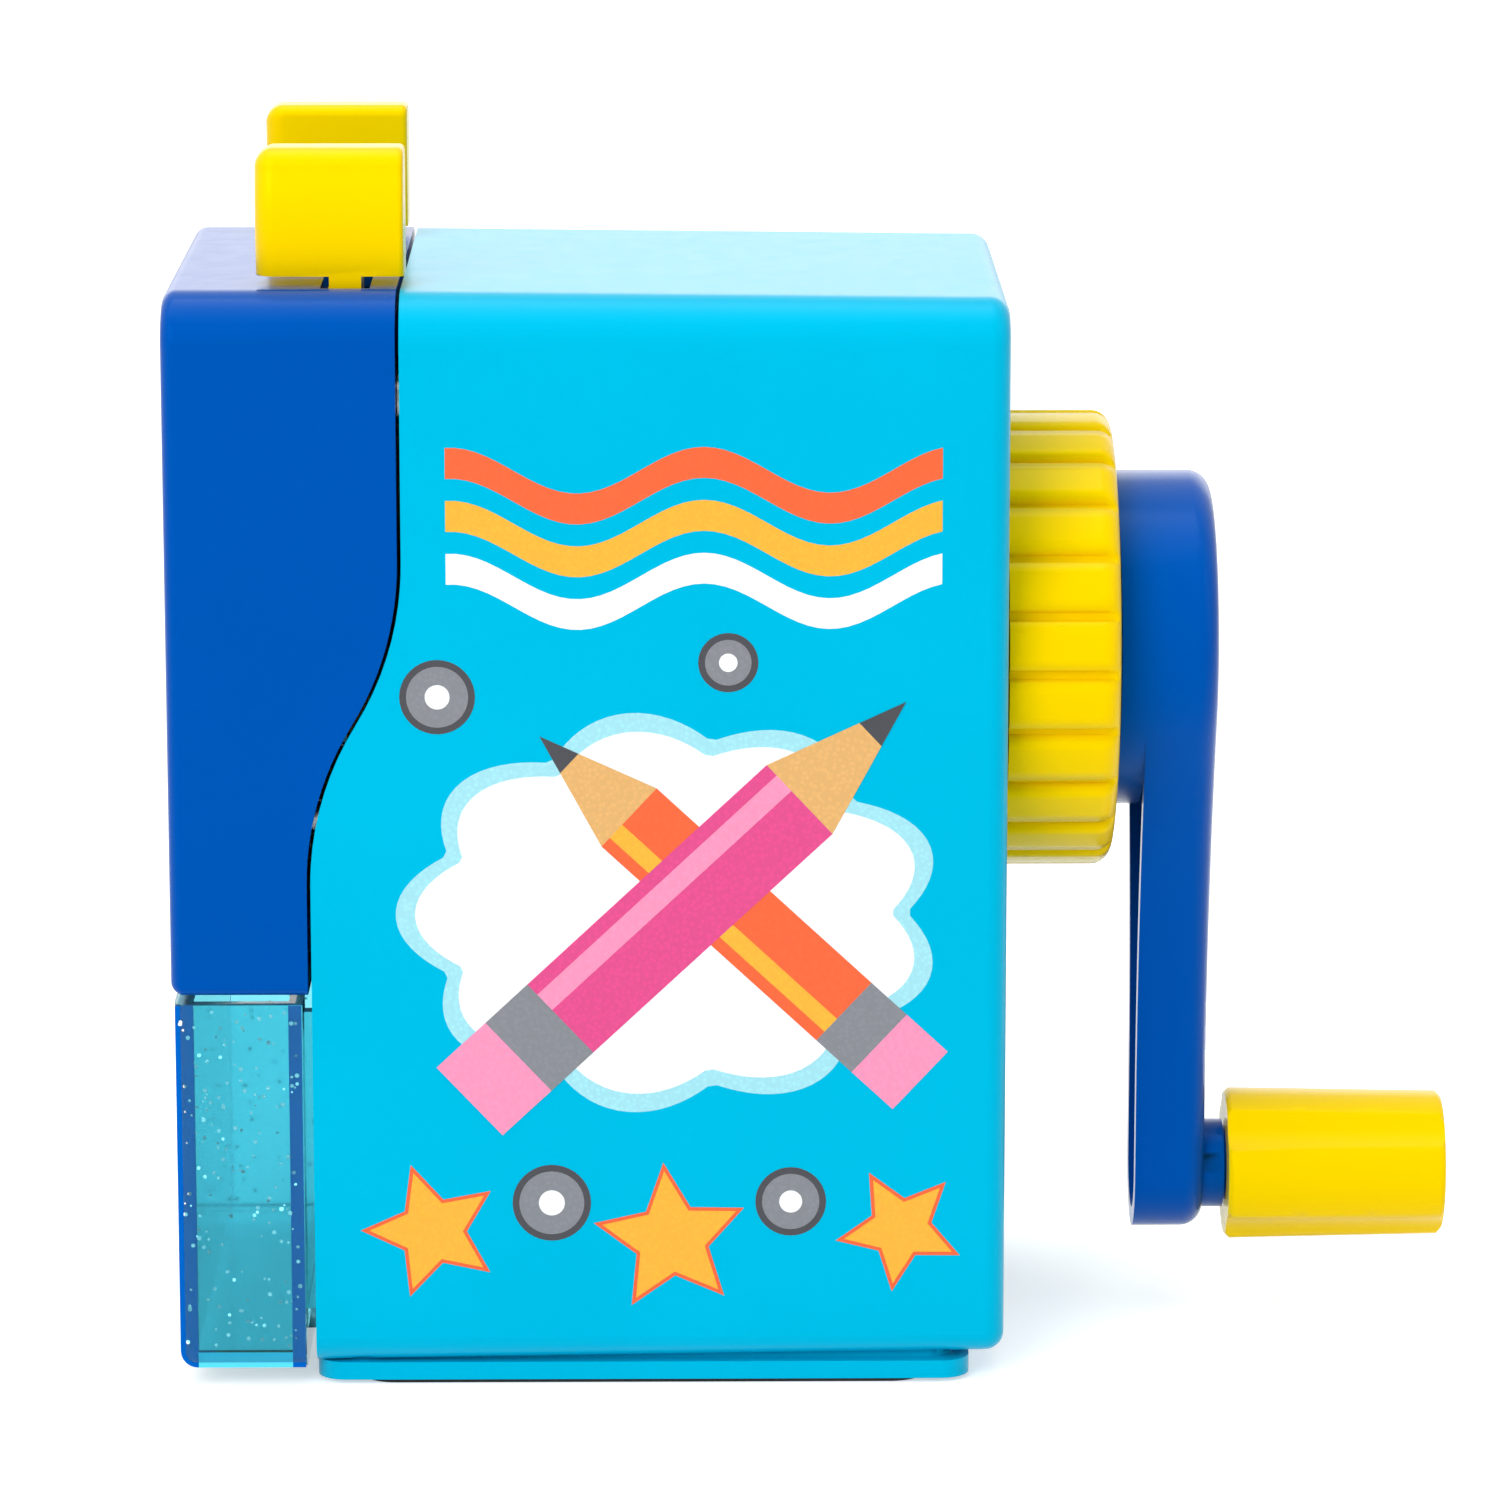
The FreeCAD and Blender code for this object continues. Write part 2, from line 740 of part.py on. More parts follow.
def base_screws():
    pieces = []
    for x, y in base_screw_places():
        pieces.append(rod_along_z("screw_head", d.base_head_radius, d.pad_thick, d.base_head_height, x, y))
        reach = FLOOR_Z - d.pad_thick
        pieces.append(rod_along_z("screw_shank", d.base_shank_radius, d.pad_thick, reach, x, y))
    return keep(fuse("base_screws", pieces), "base_screws")


def frame_screw_places():
    return [(POST_Y * side, height) for side in (-1, 1) for height in (POST_LOW_Z, POST_TOP_Z)]


def inner_frame():
    body = new_body("inner_frame")
    plan = new_sketch(body, "YZ", depth=FRAME_X)
    drawn_in = d.wall + taper_at(FRAME_BACK_X) + d.frame_gap
    half = HALF_WIDTH - drawn_in
    top = d.body_height - drawn_in
    add_outline(plan, shell_outline(half, d.frame_bottom, top, d.inner_round, d.inner_top_round))
    add_pad(body, plan, d.frame_thick)
    collars = new_sketch(body, "YZ", depth=FRAME_X)
    bores = new_sketch(body, "YZ", depth=FRAME_X)
    for side in (-1, 1):
        add_circle(collars, ROD_Y * side, d.rod_height, d.collar_radius)
        add_circle(bores, ROD_Y * side, d.rod_height, d.rod_radius + d.fit)
    add_pad(body, collars, d.frame_thick + d.collar_len)
    for y, z in frame_screw_places():
        add_circle(bores, y, z, d.frame_screw_radius + d.fit)
    add_circle(bores, 0, d.axis_height, d.guide_radius + d.fit)
    add_pocket(body, bores, d.frame_thick + d.collar_len, reverse=True)
    return keep(body, "inner_frame")


def frame_screws():
    pieces = []
    for y, z in frame_screw_places():
        pieces.append(rod_along_x("screw_head", d.frame_head_radius, FRAME_X - d.frame_head_height,
                                  d.frame_head_height, y, z))
        pieces.append(rod_along_x("screw_shank", d.frame_screw_radius, FRAME_X - d.frame_head_height,
                                  d.frame_head_height + d.frame_thick + d.frame_screw_depth, y, z))
    return keep(fuse("frame_screws", pieces), "frame_screws")


def pencil_guide():
    """A flanged tube with a flared mouth."""
    body = new_body("pencil_guide")
    profile = new_sketch(body, "XZ", rise=d.axis_height)
    start = FRAME_X - d.guide_flange_thick
    end = CARRIER_FACE_X - d.guide_tip_gap
    flare = d.guide_radius - d.guide_bore
    add_outline(profile, [
        (start, d.guide_bore + flare),
        (start + flare * 2, d.guide_bore),
        (end, d.guide_bore),
        (end, d.guide_radius),
        (FRAME_X, d.guide_radius),
        (FRAME_X, d.guide_flange),
        (start, d.guide_flange),
    ])
    add_revolution(body, profile)
    return keep(body, "pencil_guide")


# Rear cap with its gear
def rear_cap():
    body = new_body("rear_cap")
    profile = new_sketch(body, "XZ", rise=d.axis_height)
    rim_inner = d.cap_radius - d.cap_wall
    skirt_inner = d.skirt_radius - d.skirt_wall
    skirt_x = CAP_WEB_X - d.skirt_len
    hole = d.bush_radius + d.fit
    add_outline(profile, [
        (CAP_BACK_X, rim_inner),
        (CAP_WEB_X, rim_inner),
        (CAP_WEB_X, d.skirt_radius),
        (skirt_x, d.skirt_radius),
        (skirt_x, skirt_inner),
        (CAP_WEB_X, skirt_inner),
        (CAP_WEB_X, d.boss_radius),
        (BUSH_X, d.boss_radius),
        (BUSH_X, hole),
        (CAP_FACE_X, hole),
        (CAP_FACE_X, d.cap_radius - d.cap_round, d.cap_round, 1),
        (CAP_FACE_X - d.cap_round, d.cap_radius),
        (CAP_BACK_X, d.cap_radius),
    ])
    add_revolution(body, profile)
    lug = new_sketch(body, "YZ", depth=REAR_INSIDE_X - d.free_gap - d.lug_thick, rise=d.axis_height)
    add_outline(lug, box(-d.lug_width / 2, d.lug_width / 2, d.skirt_radius - d.skirt_wall / 2, d.lug_reach))
    add_ring_pattern(body, add_pad(body, lug, d.lug_thick), lug, d.lug_count)
    groove = new_sketch(body, "YZ", depth=CAP_BACK_X, rise=d.axis_height)
    floor = d.cap_radius - d.groove_depth
    slope = (d.groove_mouth - d.groove_base) / 2 / d.groove_depth
    over = d.cap_radius + d.groove_depth
    mouth = d.groove_mouth / 2 + slope * d.groove_depth
    base = d.groove_base / 2
    add_outline(groove, [(-base, floor), (base, floor), (mouth, over), (-mouth, over)])
    pocket = add_pocket(body, groove, CAP_FACE_X - d.groove_margin - CAP_BACK_X, reverse=True)
    add_ring_pattern(body, pocket, groove, d.rib_count)
    return keep(body, "rear_cap")


def shaft_bush():
    body = new_body("shaft_bush")
    plan = new_sketch(body, "YZ", depth=BUSH_X, rise=d.axis_height)
    add_circle(plan, 0, 0, d.bush_radius)
    add_circle(plan, 0, 0, d.journal_radius + d.fit)
    add_pad(body, plan, d.bush_len)
    return keep(body, "shaft_bush")


class GearPair:
    """A small bevel pinion inside a ring gear, both drawn towards one apex on the pencil line."""

    def __init__(self):
        self.pinion_count = int(d.pinion_teeth.value)
        self.ring_count = int(d.ring_teeth.value)
        tilt = math.radians(d.cone_angle.value)
        ratio = self.ring_count / self.pinion_count
        pinion_cone = math.atan2(math.sin(tilt), ratio - math.cos(tilt))
        self.reach = APEX_X.value - GEAR_X.value
        self.slant = self.reach / math.cos(tilt)
        self.pinion_radius = self.slant * math.tan(pinion_cone)
        self.ring_radius = self.reach * math.tan(pinion_cone + tilt)
        self.module = 2 * self.pinion_radius / self.pinion_count
        self.ring_module = 2 * self.ring_radius / self.ring_count


GEARS = GearPair()
PINION_ADDENDUM = 0.75
PINION_DEDENDUM = 1.0
RING_ADDENDUM = 0.6
RING_DEDENDUM = 1.05
FLANK_ANGLE = 22.0


def tooth_outline(radius, count, module, outward, inward, backlash, first_angle, grows_out):
    """Corners (radius, angle) of straight-flanked teeth that get thinner outwards or inwards."""
    half_pitch_tooth = math.pi * module / 4 - backlash / 2
    slope = math.tan(math.radians(FLANK_ANGLE)) * (1 if grows_out else -1)
    corners = []
    for tooth in range(count):
        centre = first_angle + 2 * math.pi * tooth / count
        for level, side in ((-inward, -1), (outward, -1), (outward, 1), (-inward, 1)):
            half = half_pitch_tooth - slope * level
            corners.append((radius + level, centre + side * half / (radius + level)))
    return corners


def axis_frame():
    """The apex, and the unit vectors along the cutter's axle towards the apex, and across it."""
    tilt = math.radians(d.cone_angle.value)
    apex = Vector(APEX_X.value, 0, d.axis_height.value)
    along = Vector(math.cos(tilt), 0, -math.sin(tilt))
    up = Vector(math.sin(tilt), 0, math.cos(tilt))
    return apex, along, up


def axle_point(x):
    """The point of the cutter's axle over a place on the pencil line."""
    apex, along = axis_frame()[:2]
    return apex - along * ((APEX_X.value - float(x)) / along.x)


def gear_wire(corners, centre, across, up, scale):
    points = [centre + (across * math.cos(a) + up * math.sin(a)) * (r * scale) for r, a in corners]
    return Part.makePolygon(points + points[:1])


def ring_gear():
    """A plain ring less a toothed cavity that narrows towards the apex."""
    outer = d.skirt_radius.value - d.skirt_wall.value - d.fit.value
    rim = d.free_gap.value
    start = GEAR_START_X.value - rim
    blank = Part.makeCylinder(outer, d.gear_width.value + 2 * rim, Vector(start, 0, d.axis_height.value),
                              Vector(1, 0, 0))
    corners = tooth_outline(GEARS.ring_radius, GEARS.ring_count, GEARS.ring_module,
                            RING_DEDENDUM * GEARS.ring_module, RING_ADDENDUM * GEARS.ring_module,
                            -d.backlash.value, math.pi / 2, True)
    wires = []
    for x in (start - rim, start + d.gear_width.value + 3 * rim):
        scale = (APEX_X.value - x) / GEARS.reach
        centre = Vector(x, 0, d.axis_height.value)
        wires.append(gear_wire(corners, centre, Vector(0, 1, 0), Vector(0, 0, 1), scale))
    cavity = Part.makeLoft(wires, True, True)
    return solid_feature("ring_gear", blank.cut(cavity))


def cutter_pinion():
    apex, along, up = axis_frame()
    corners = tooth_outline(GEARS.pinion_radius, GEARS.pinion_count, GEARS.module,
                            PINION_ADDENDUM * GEARS.module, PINION_DEDENDUM * GEARS.module, 0.0,
                            math.pi / 2, True)
    wires = []
    for x in (GEAR_START_X, GEAR_END_X):
        centre = axle_point(x)
        scale = (apex - centre).Length / GEARS.slant
        wires.append(gear_wire(corners, centre, Vector(0, 1, 0), up, scale))
    blank = Part.makeLoft(wires, True, True)
    bore_radius = d.axle_radius.value + d.fit.value
    bore = Part.makeCylinder(bore_radius, d.body_len.value, axle_point(CUTTER_START_X), along)
    return solid_feature("cutter_pinion", blank.cut(bore))


CUTTER_STEPS = 4
CREST_END = 0.985
CREST_SHARE = 0.22
FLANK_SHARE = 0.82


def helical_cutter():
    """A ruled loft through saw-toothed sections that turn as they go along the axle."""
    along, up = axis_frame()[1:]
    start = axle_point(CUTTER_START_X)
    end = axle_point(CUTTER_END_X)
    count = int(d.cutter_teeth.value)
    crest = d.cutter_radius.value
    root = crest - d.cutter_depth.value
    wires = []
    for step in range(CUTTER_STEPS + 1):
        centre = start + (end - start) * (step / CUTTER_STEPS)
        turn = math.radians(d.cutter_twist.value) * step / CUTTER_STEPS
        corners = []
        for tooth in range(count):
            angle = turn + 2 * math.pi * tooth / count
            pitch = 2 * math.pi / count
            corners += [(crest, angle), (crest * CREST_END, angle + pitch * CREST_SHARE),
                        (root, angle + pitch * FLANK_SHARE)]
        wires.append(gear_wire(corners, centre, Vector(0, 1, 0), up, 1.0))
    blank = Part.makeLoft(wires, True, True)
    bore = Part.makeCylinder(d.axle_radius.value + d.fit.value, (end - start).Length * 3,
                             start - along * (end - start).Length, along)
    return solid_feature("helical_cutter", blank.cut(bore))


def cutter_axle():
    along = axis_frame()[1]
    start = axle_point(CARRIER_FACE_X + d.free_gap * 2)
    end = axle_point(JOURNAL_X - d.free_gap * 2)
    axle = Part.makeCylinder(d.axle_radius.value, (end - start).Length, start, along)
    return solid_feature("cutter_axle", axle)


def cutter_carrier():
    """A turned yoke: pencil cone inside, a trough for the cutter, a slim neck beside the pinion."""
    body = new_body("carrier_blank")
    profile = new_sketch(body, "XZ", rise=d.axis_height)
    mouth = (TIP_X - CARRIER_FACE_X) * TAN_CONE + d.free_gap
    add_outline(profile, [
        (CARRIER_FACE_X, mouth),
        (TIP_X + d.free_gap * 2, d.free_gap / 2),
        (JOURNAL_X - d.free_gap, d.free_gap / 2),
        (CAP_FACE_X + d.hub_gap / 2, d.free_gap / 2),
        (CAP_FACE_X + d.hub_gap / 2, d.journal_radius),
        (JOURNAL_X, d.journal_radius),
        (JOURNAL_X, d.carrier_neck),
        (CARRIER_BODY_END_X, d.carrier_neck),
        (CARRIER_BODY_END_X, d.carrier_radius),
        (CARRIER_FACE_X, d.carrier_radius),
    ])
    add_revolution(body, profile)
    socket = new_sketch(body, "YZ", depth=JOURNAL_X + d.free_gap, rise=d.axis_height)
    add_outline(socket, flatted_round(d.shaft_radius + d.fit, d.shaft_flat + d.fit))
    add_pocket(body, socket, d.body_len, reverse=True)
    along, up = axis_frame()[1:]
    start = axle_point(CUTTER_START_X - d.free_gap)
    end = axle_point(CARRIER_BODY_END_X)
    reach = end - start
    trough_radius = d.cutter_radius.value + d.trough_gap.value
    trough = Part.makeCylinder(trough_radius, reach.Length, start, along)
    lid = Part.makeBox(2 * trough_radius, d.carrier_radius.value * 2, reach.Length)
    lid.Placement = FreeCAD.Placement(start + Vector(0, -trough_radius, 0),
                                      Rotation(Vector(0, 1, 0), up, along, "ZXY"))
    gear_start = axle_point(CARRIER_BODY_END_X)
    gear_end = axle_point(CARRIER_REAR_X)
    gear_reach = gear_end - gear_start
    gear_radius = GEARS.pinion_radius + GEARS.module * PINION_ADDENDUM + d.free_gap.value * 3
    well = Part.makeCylinder(gear_radius, gear_reach.Length, gear_start, along)
    well_lid = Part.makeBox(2 * gear_radius, d.carrier_radius.value * 2, gear_reach.Length)
    well_lid.Placement = FreeCAD.Placement(gear_start + Vector(0, -gear_radius, 0),
                                           Rotation(Vector(0, 1, 0), up, along, "ZXY"))
    bore_start = axle_point(CARRIER_FACE_X + d.free_gap)
    bore_end = axle_point(JOURNAL_X - d.free_gap)
    bore_radius = d.axle_radius.value + d.fit.value
    bore = Part.makeCylinder(bore_radius, (bore_end - bore_start).Length, bore_start, along)
    shape = body.Shape.cut([trough, lid, well, well_lid, bore])
    return solid_feature("cutter_carrier", shape)


def flatted_round(radius, flat):
    """Corners of a round section with one flat on top."""
    half = root_of(radius * radius - flat * flat)
    return [
        (half, flat),
        (-half, flat, radius, 1),
        (as_size(0), -radius, radius, 1),
    ]


# Crank
def crank_arm():
    """A hub cup and a tapering channel, open towards the body, with crossed ribs and a stub for the grip."""
    body = new_body("crank_arm")
    hub = new_sketch(body, "YZ", depth=HUB_X, rise=d.axis_height)
    add_circle(hub, 0, 0, d.hub_radius)
    add_pad(body, hub, ARM_X - HUB_X)
    arm = new_sketch(body, "YZ", depth=ARM_X, rise=d.axis_height)
    top = [(as_size(0), d.hub_radius, d.hub_radius, 1)]
    flanks = arm_corners(as_size(0))
    start = flanks[0] + (d.hub_radius, 1)
    add_outline(arm, [start] + top + flanks[1:])
    add_pad(body, arm, d.arm_depth)
    round_edges(body, d.hub_round, lambda e: edge_in_plane(e, "X", HUB_FACE_X))
    cup = new_sketch(body, "YZ", depth=HUB_X, rise=d.axis_height)
    add_circle(cup, 0, 0, d.hub_radius - d.hub_wall)
    add_pocket(body, cup, HUB_FACE_X - HUB_X - d.hub_wall, reverse=True)
    channel = new_sketch(body, "YZ", depth=ARM_X, rise=d.axis_height)
    add_outline(channel, arm_corners(d.arm_wall))
    add_pocket(body, channel, d.arm_depth - d.arm_wall, reverse=True)
    boss = new_sketch(body, "YZ", depth=HUB_X, rise=d.axis_height)
    add_circle(boss, 0, 0, d.hub_boss)
    add_pad(body, boss, HUB_FACE_X - HUB_X - d.hub_wall / 2)
    for lean in (-1, 1):
        rib = new_sketch(body, "YZ", depth=ARM_X + d.arm_wall / 2, rise=d.axis_height)
        add_outline(rib, arm_rib_corners(lean))
        add_pad(body, rib, d.arm_depth - d.arm_wall)
    pin = new_sketch(body, "YZ", depth=ARM_X + d.arm_wall / 2, rise=GRIP_Z)
    add_circle(pin, 0, 0, d.stub_collar_radius)
    add_pad(body, pin, HUB_FACE_X - ARM_X - d.arm_wall / 2 + d.stub_collar_len)
    stub = new_sketch(body, "XZ", rise=GRIP_Z)
    root = HUB_FACE_X + d.stub_collar_len / 2
    bead = root + d.bead_place
    add_outline(stub, [
        (root, as_size(0)),
        (root + d.stub_len, as_size(0)),
        (root + d.stub_len, d.stub_radius - d.stub_bead),
        (root + d.stub_len - d.stub_bead, d.stub_radius),
        (bead + d.stub_bead_len, d.stub_radius),
        (bead + d.stub_bead_len - d.stub_bead, d.stub_radius + d.stub_bead),
        (bead + d.stub_bead, d.stub_radius + d.stub_bead),
        (bead, d.stub_radius),
        (root, d.stub_radius),
    ])
    add_revolution(body, stub)
    socket = new_sketch(body, "YZ", depth=HUB_X, rise=d.axis_height)
    add_outline(socket, flatted_round(d.shaft_radius + d.fit, d.shaft_flat + d.fit))
    add_pocket(body, socket, d.shaft_hold, reverse=True)
    screw = new_sketch(body, "YZ", depth=HUB_FACE_X, rise=d.axis_height)
    add_circle(screw, 0, 0, d.screw_head_radius + d.fit)
    add_pocket(body, screw, d.screw_head_height)
    shank = new_sketch(body, "YZ", depth=HUB_FACE_X, rise=d.axis_height)
    add_circle(shank, 0, 0, d.screw_shank_radius + d.fit)
    add_pocket(body, shank, HUB_FACE_X - HUB_X)
    return keep(body, "crank_arm")


def root_of(size):
    return Size(math.sqrt(size.value), "sqrt(%s)" % size.text)


def arm_corners(inset):
    """The arm below its hub seen along X, drawn in by an inset: a sweep joins the hub to each flank."""
    end = d.arm_end_radius - inset
    foot = -d.crank_throw
    sweep = d.arm_sweep + inset
    span = d.hub_radius + d.arm_sweep
    centre = d.arm_end_radius + d.arm_sweep
    drop = root_of(span * span - centre * centre)
    touch = (d.hub_radius - inset) / span
    return [
        (centre * touch, -drop * touch),
        (-centre * touch, -drop * touch, sweep, -1),
        (-end, -drop),
        (-end, foot, end, 1),
        (as_size(0), foot - end, end, 1),
        (end, foot),
        (end, -drop, sweep, -1),
    ]


def arm_rib_corners(lean):
    """A slanting rib across the channel between the root and the grip's pin."""
    upper = -d.rib_top
    lower = upper - d.rib_fall
    reach = (d.arm_end_radius - d.arm_wall / 2) * lean
    corners = [(-reach, upper), (reach, lower), (reach, lower - d.arm_rib), (-reach, upper - d.arm_rib)]
    return corners if lean < 0 else corners[::-1]


def crank_shaft():
    body = new_body("crank_shaft")
    start = JOURNAL_X + d.free_gap * 2
    plan = new_sketch(body, "YZ", depth=start, rise=d.axis_height)
    add_outline(plan, flatted_round(d.shaft_radius, d.shaft_flat))
    add_pad(body, plan, HUB_X + d.shaft_hold - d.free_gap - start)
    tapped = new_sketch(body, "YZ", depth=HUB_X + d.shaft_hold, rise=d.axis_height)
    add_circle(tapped, 0, 0, d.screw_shank_radius + d.fit)
    add_pocket(body, tapped, d.screw_depth + d.free_gap * 2)
    return keep(body, "crank_shaft")


def crank_screw():
    head_start = HUB_FACE_X - d.screw_head_height
    head = rod_along_x("screw_head", d.screw_head_radius, head_start, d.screw_head_height,
                       as_size(0), d.axis_height)
    start = HUB_X + d.shaft_hold - d.screw_depth
    shank = rod_along_x("screw_shank", d.screw_shank_radius, start, HUB_FACE_X - d.free_gap - start,
                        as_size(0), d.axis_height)
    return keep(fuse("crank_screw", [head, shank]), "crank_screw")


def crank_grip():
    """A slightly tapered knob with shallow flutes, hollow for the arm's stub."""
    body = new_body("crank_grip")
    profile = new_sketch(body, "XZ", rise=GRIP_Z)
    bore = d.stub_radius + d.fit
    root = HUB_FACE_X + d.stub_collar_len / 2
    bead = root + d.bead_place - d.free_gap
    bead_end = bead + d.stub_bead_len + d.free_gap * 2
    floor = root + d.stub_len + d.free_gap
    end = GRIP_X + d.grip_len
    add_outline(profile, [
        (floor, as_size(0)),
        (floor, bore),
        (bead_end, bore),
        (bead_end - d.stub_bead, bore + d.stub_bead),
        (bead + d.stub_bead, bore + d.stub_bead),
        (bead, bore),
        (GRIP_X, bore),
        (GRIP_X, d.grip_radius - d.grip_edge),
        (GRIP_X + d.grip_edge, d.grip_radius),
        (end - d.grip_edge, d.grip_end_radius),
        (end, d.grip_end_radius - d.grip_edge),
        (end, as_size(0)),
    ])
    add_revolution(body, profile)
    flute = new_sketch(body, "YZ", depth=GRIP_X - d.free_gap, rise=GRIP_Z)
    reach = d.grip_end_radius - d.grip_flute_depth + d.grip_flute_radius
    angle = 45 + d.grip_flute_turn
    add_circle(flute, cos_of(angle) * reach, sin_of(angle) * reach, d.grip_flute_radius)
    pocket = add_pocket(body, flute, d.grip_len + d.free_gap * 2, reverse=True)
    add_ring_pattern(body, pocket, flute, d.grip_flutes)
    return keep(body, "crank_grip")


# Carriage
def rod_places():
    return [(ROD_Y * side, d.rod_height) for side in (-1, 1)]


def back_post_places():
    return [(BACK_POST_Y * side, height) for side in (-1, 1) for height in (BACK_POST_LOW_Z, BACK_POST_TOP_Z)]


def slot_reach():
    """How far in from its rest the neck's inner edge comes when the tabs are pinched."""
    swing = sin_of(d.squeeze_angle) * (d.body_height - d.pivot_height)
    return NECK_INNER - swing - d.slot_gap


def front_carriage():
    body = new_body("front_carriage")
    block = new_sketch(body, "YZ", depth=FRONT_X)
    add_outline(block, shell_outline(HALF_WIDTH, d.carriage_bottom, d.body_height, d.inner_round,
                                     d.top_round))
    add_pad(body, block, d.carriage_len_top)
    round_edges(body, d.front_round, lambda e: edge_in_plane(e, "X", FRONT_X))
    core = new_sketch(body, "YZ", depth=FRONT_X + d.wall)
    half = HALF_WIDTH - d.wall
    add_outline(core, shell_outline(half, d.carriage_bottom + d.wall, d.body_height - d.wall, d.inner_round,
                                    d.inner_top_round))
    add_pocket(body, core, d.carriage_len_top, reverse=True)
    seam = new_sketch(body, "XZ")
    beyond = CARRIAGE_TOP_X + d.wall
    under = d.carriage_bottom - d.wall
    add_outline(seam, [(beyond, d.bend_top)] + split_curve(CARRIAGE_TOP_X, CARRIAGE_LOW_X)
                + [(CARRIAGE_LOW_X, under), (beyond, under)])
    add_pocket(body, seam, d.body_width * 2, centred=True)
    bosses = new_sketch(body, "YZ", depth=FRONT_X + d.wall / 2)
    bores = new_sketch(body, "YZ", depth=FRONT_X + d.wall)
    for y, z in rod_places():
        add_circle(bosses, y, z, d.rod_boss_radius)
        add_circle(bores, y, z, d.rod_radius + d.fit)
    add_circle(bosses, 0, d.pivot_height, d.eye_radius)
    add_circle(bores, 0, d.pivot_height, d.pivot_radius + d.fit)
    add_pad(body, bosses, d.wall / 2 + d.rod_seat)
    add_pocket(body, bores, d.rod_seat, reverse=True)
    posts = new_sketch(body, "YZ", depth=FRONT_X + d.wall / 2)
    pilots = new_sketch(body, "YZ", depth=BACK_X)
    for y, z in back_post_places():
        add_circle(posts, y, z, d.back_post_radius)
        add_circle(pilots, y, z, d.back_screw_radius + d.fit)
    add_pad(body, posts, BACK_X - FRONT_X - d.wall / 2)
    add_pocket(body, pilots, d.back_screw_depth + d.free_gap)
    mouth = new_sketch(body, "YZ", depth=FRONT_X)
    add_circle(mouth, 0, d.axis_height, d.mouth_radius)
    add_pocket(body, mouth, d.wall, reverse=True)
    round_edges(body, d.wall / 3, lambda e: (edge_in_plane(e, "X", FRONT_X)
                                             and near(e.BoundBox.YMax, d.mouth_radius)))
    slots = new_sketch(body, "XY", depth=d.body_height)
    for start, side in ((NEAR_LEVER_X, -1), (FAR_LEVER_X, 1)):
        inner = slot_reach() * side
        outer = (NECK_OUTER + d.slot_gap) * side
        low, high = (outer, inner) if side < 0 else (inner, outer)
        add_outline(slots, box(start - d.slot_gap, start + d.lever_thick + d.slot_gap, low, high))
    add_pocket(body, slots, d.wall * 2)
    return keep(body, "front_carriage")


def carriage_back():
    body = new_body("carriage_back")
    plan = new_sketch(body, "YZ", depth=BACK_X)
    half = HALF_WIDTH - d.wall - d.back_side_gap
    add_outline(plan, rounded_box(-half, half, BACK_LOW_Z, BACK_TOP_Z, d.inner_round))
    add_circle(plan, 0, d.axis_height, d.mouth_radius)
    for y, z in rod_places():
        add_circle(plan, y, z, d.rod_radius + d.free_gap)
    add_circle(plan, 0, d.pivot_height, d.pivot_radius + d.fit)
    for y, z in back_post_places():
        add_circle(plan, y, z, d.back_screw_radius + d.fit)
    add_pad(body, plan, d.back_thick)
    return keep(body, "carriage_back")


def carriage_screws():
    pieces = []
    for y, z in back_post_places():
        pieces.append(rod_along_x("screw_head", d.back_head_radius, BACK_REAR_X, d.back_head_height, y, z))
        start = BACK_X - d.back_screw_depth
        pieces.append(rod_along_x("screw_shank", d.back_screw_radius, start,
                                  BACK_REAR_X + d.back_head_height - start, y, z))
    return keep(fuse("carriage_screws", pieces), "carriage_screws")


def guide_rods():
    start = FRONT_X + d.wall
    rods = [rod_along_x("rod", d.rod_radius, start, ROD_END_X - start, y, z) for y, z in rod_places()]
    return keep(fuse("guide_rods", rods), "guide_rods")


def rod_clips():
    pair = []
    for y, z in rod_places():
        outer = rod_along_x("clip_disc", d.clip_radius, CLIP_X, d.clip_thick, y, z)
        inner = rod_along_x("clip_hole", d.rod_radius + d.fit, CLIP_X, d.clip_thick, y, z)
        pair.append(cut("clip", outer, inner))
    return keep(fuse("rod_clips", pair), "rod_clips")


def lever_pin():
    start = FRONT_X + d.wall
    pin = rod_along_x("lever_pin", d.pivot_radius, start, BACK_REAR_X - start, as_size(0), d.pivot_height)
    return keep(pin, "lever_pin")


def lever_corners(side):
    """The crossed lever seen along X: side -1 has its tab on the near side and its jaw on the far side."""
    jaw = -d.jaw_face * side
    back = -(d.jaw_face + d.lever_strap) * side
    foot = d.lever_foot * side
    corners = [
        (-foot, d.pivot_height),
        (back, JAW_LOW_Z),
        (back, JAW_TOP_Z),
        (NECK_INNER * side, CROSS_Z),
        (NECK_INNER * side, TAB_BOTTOM_Z + d.tab_edge),
        (NECK_OUTER * side, TAB_BOTTOM_Z + d.tab_edge),
        (NECK_OUTER * side, CROSS_Z - d.lever_strap),
        (jaw, JAW_TOP_Z),
        (jaw, JAW_LOW_Z),
        (foot, d.pivot_height),
    ]
    return corners if side < 0 else corners[::-1]


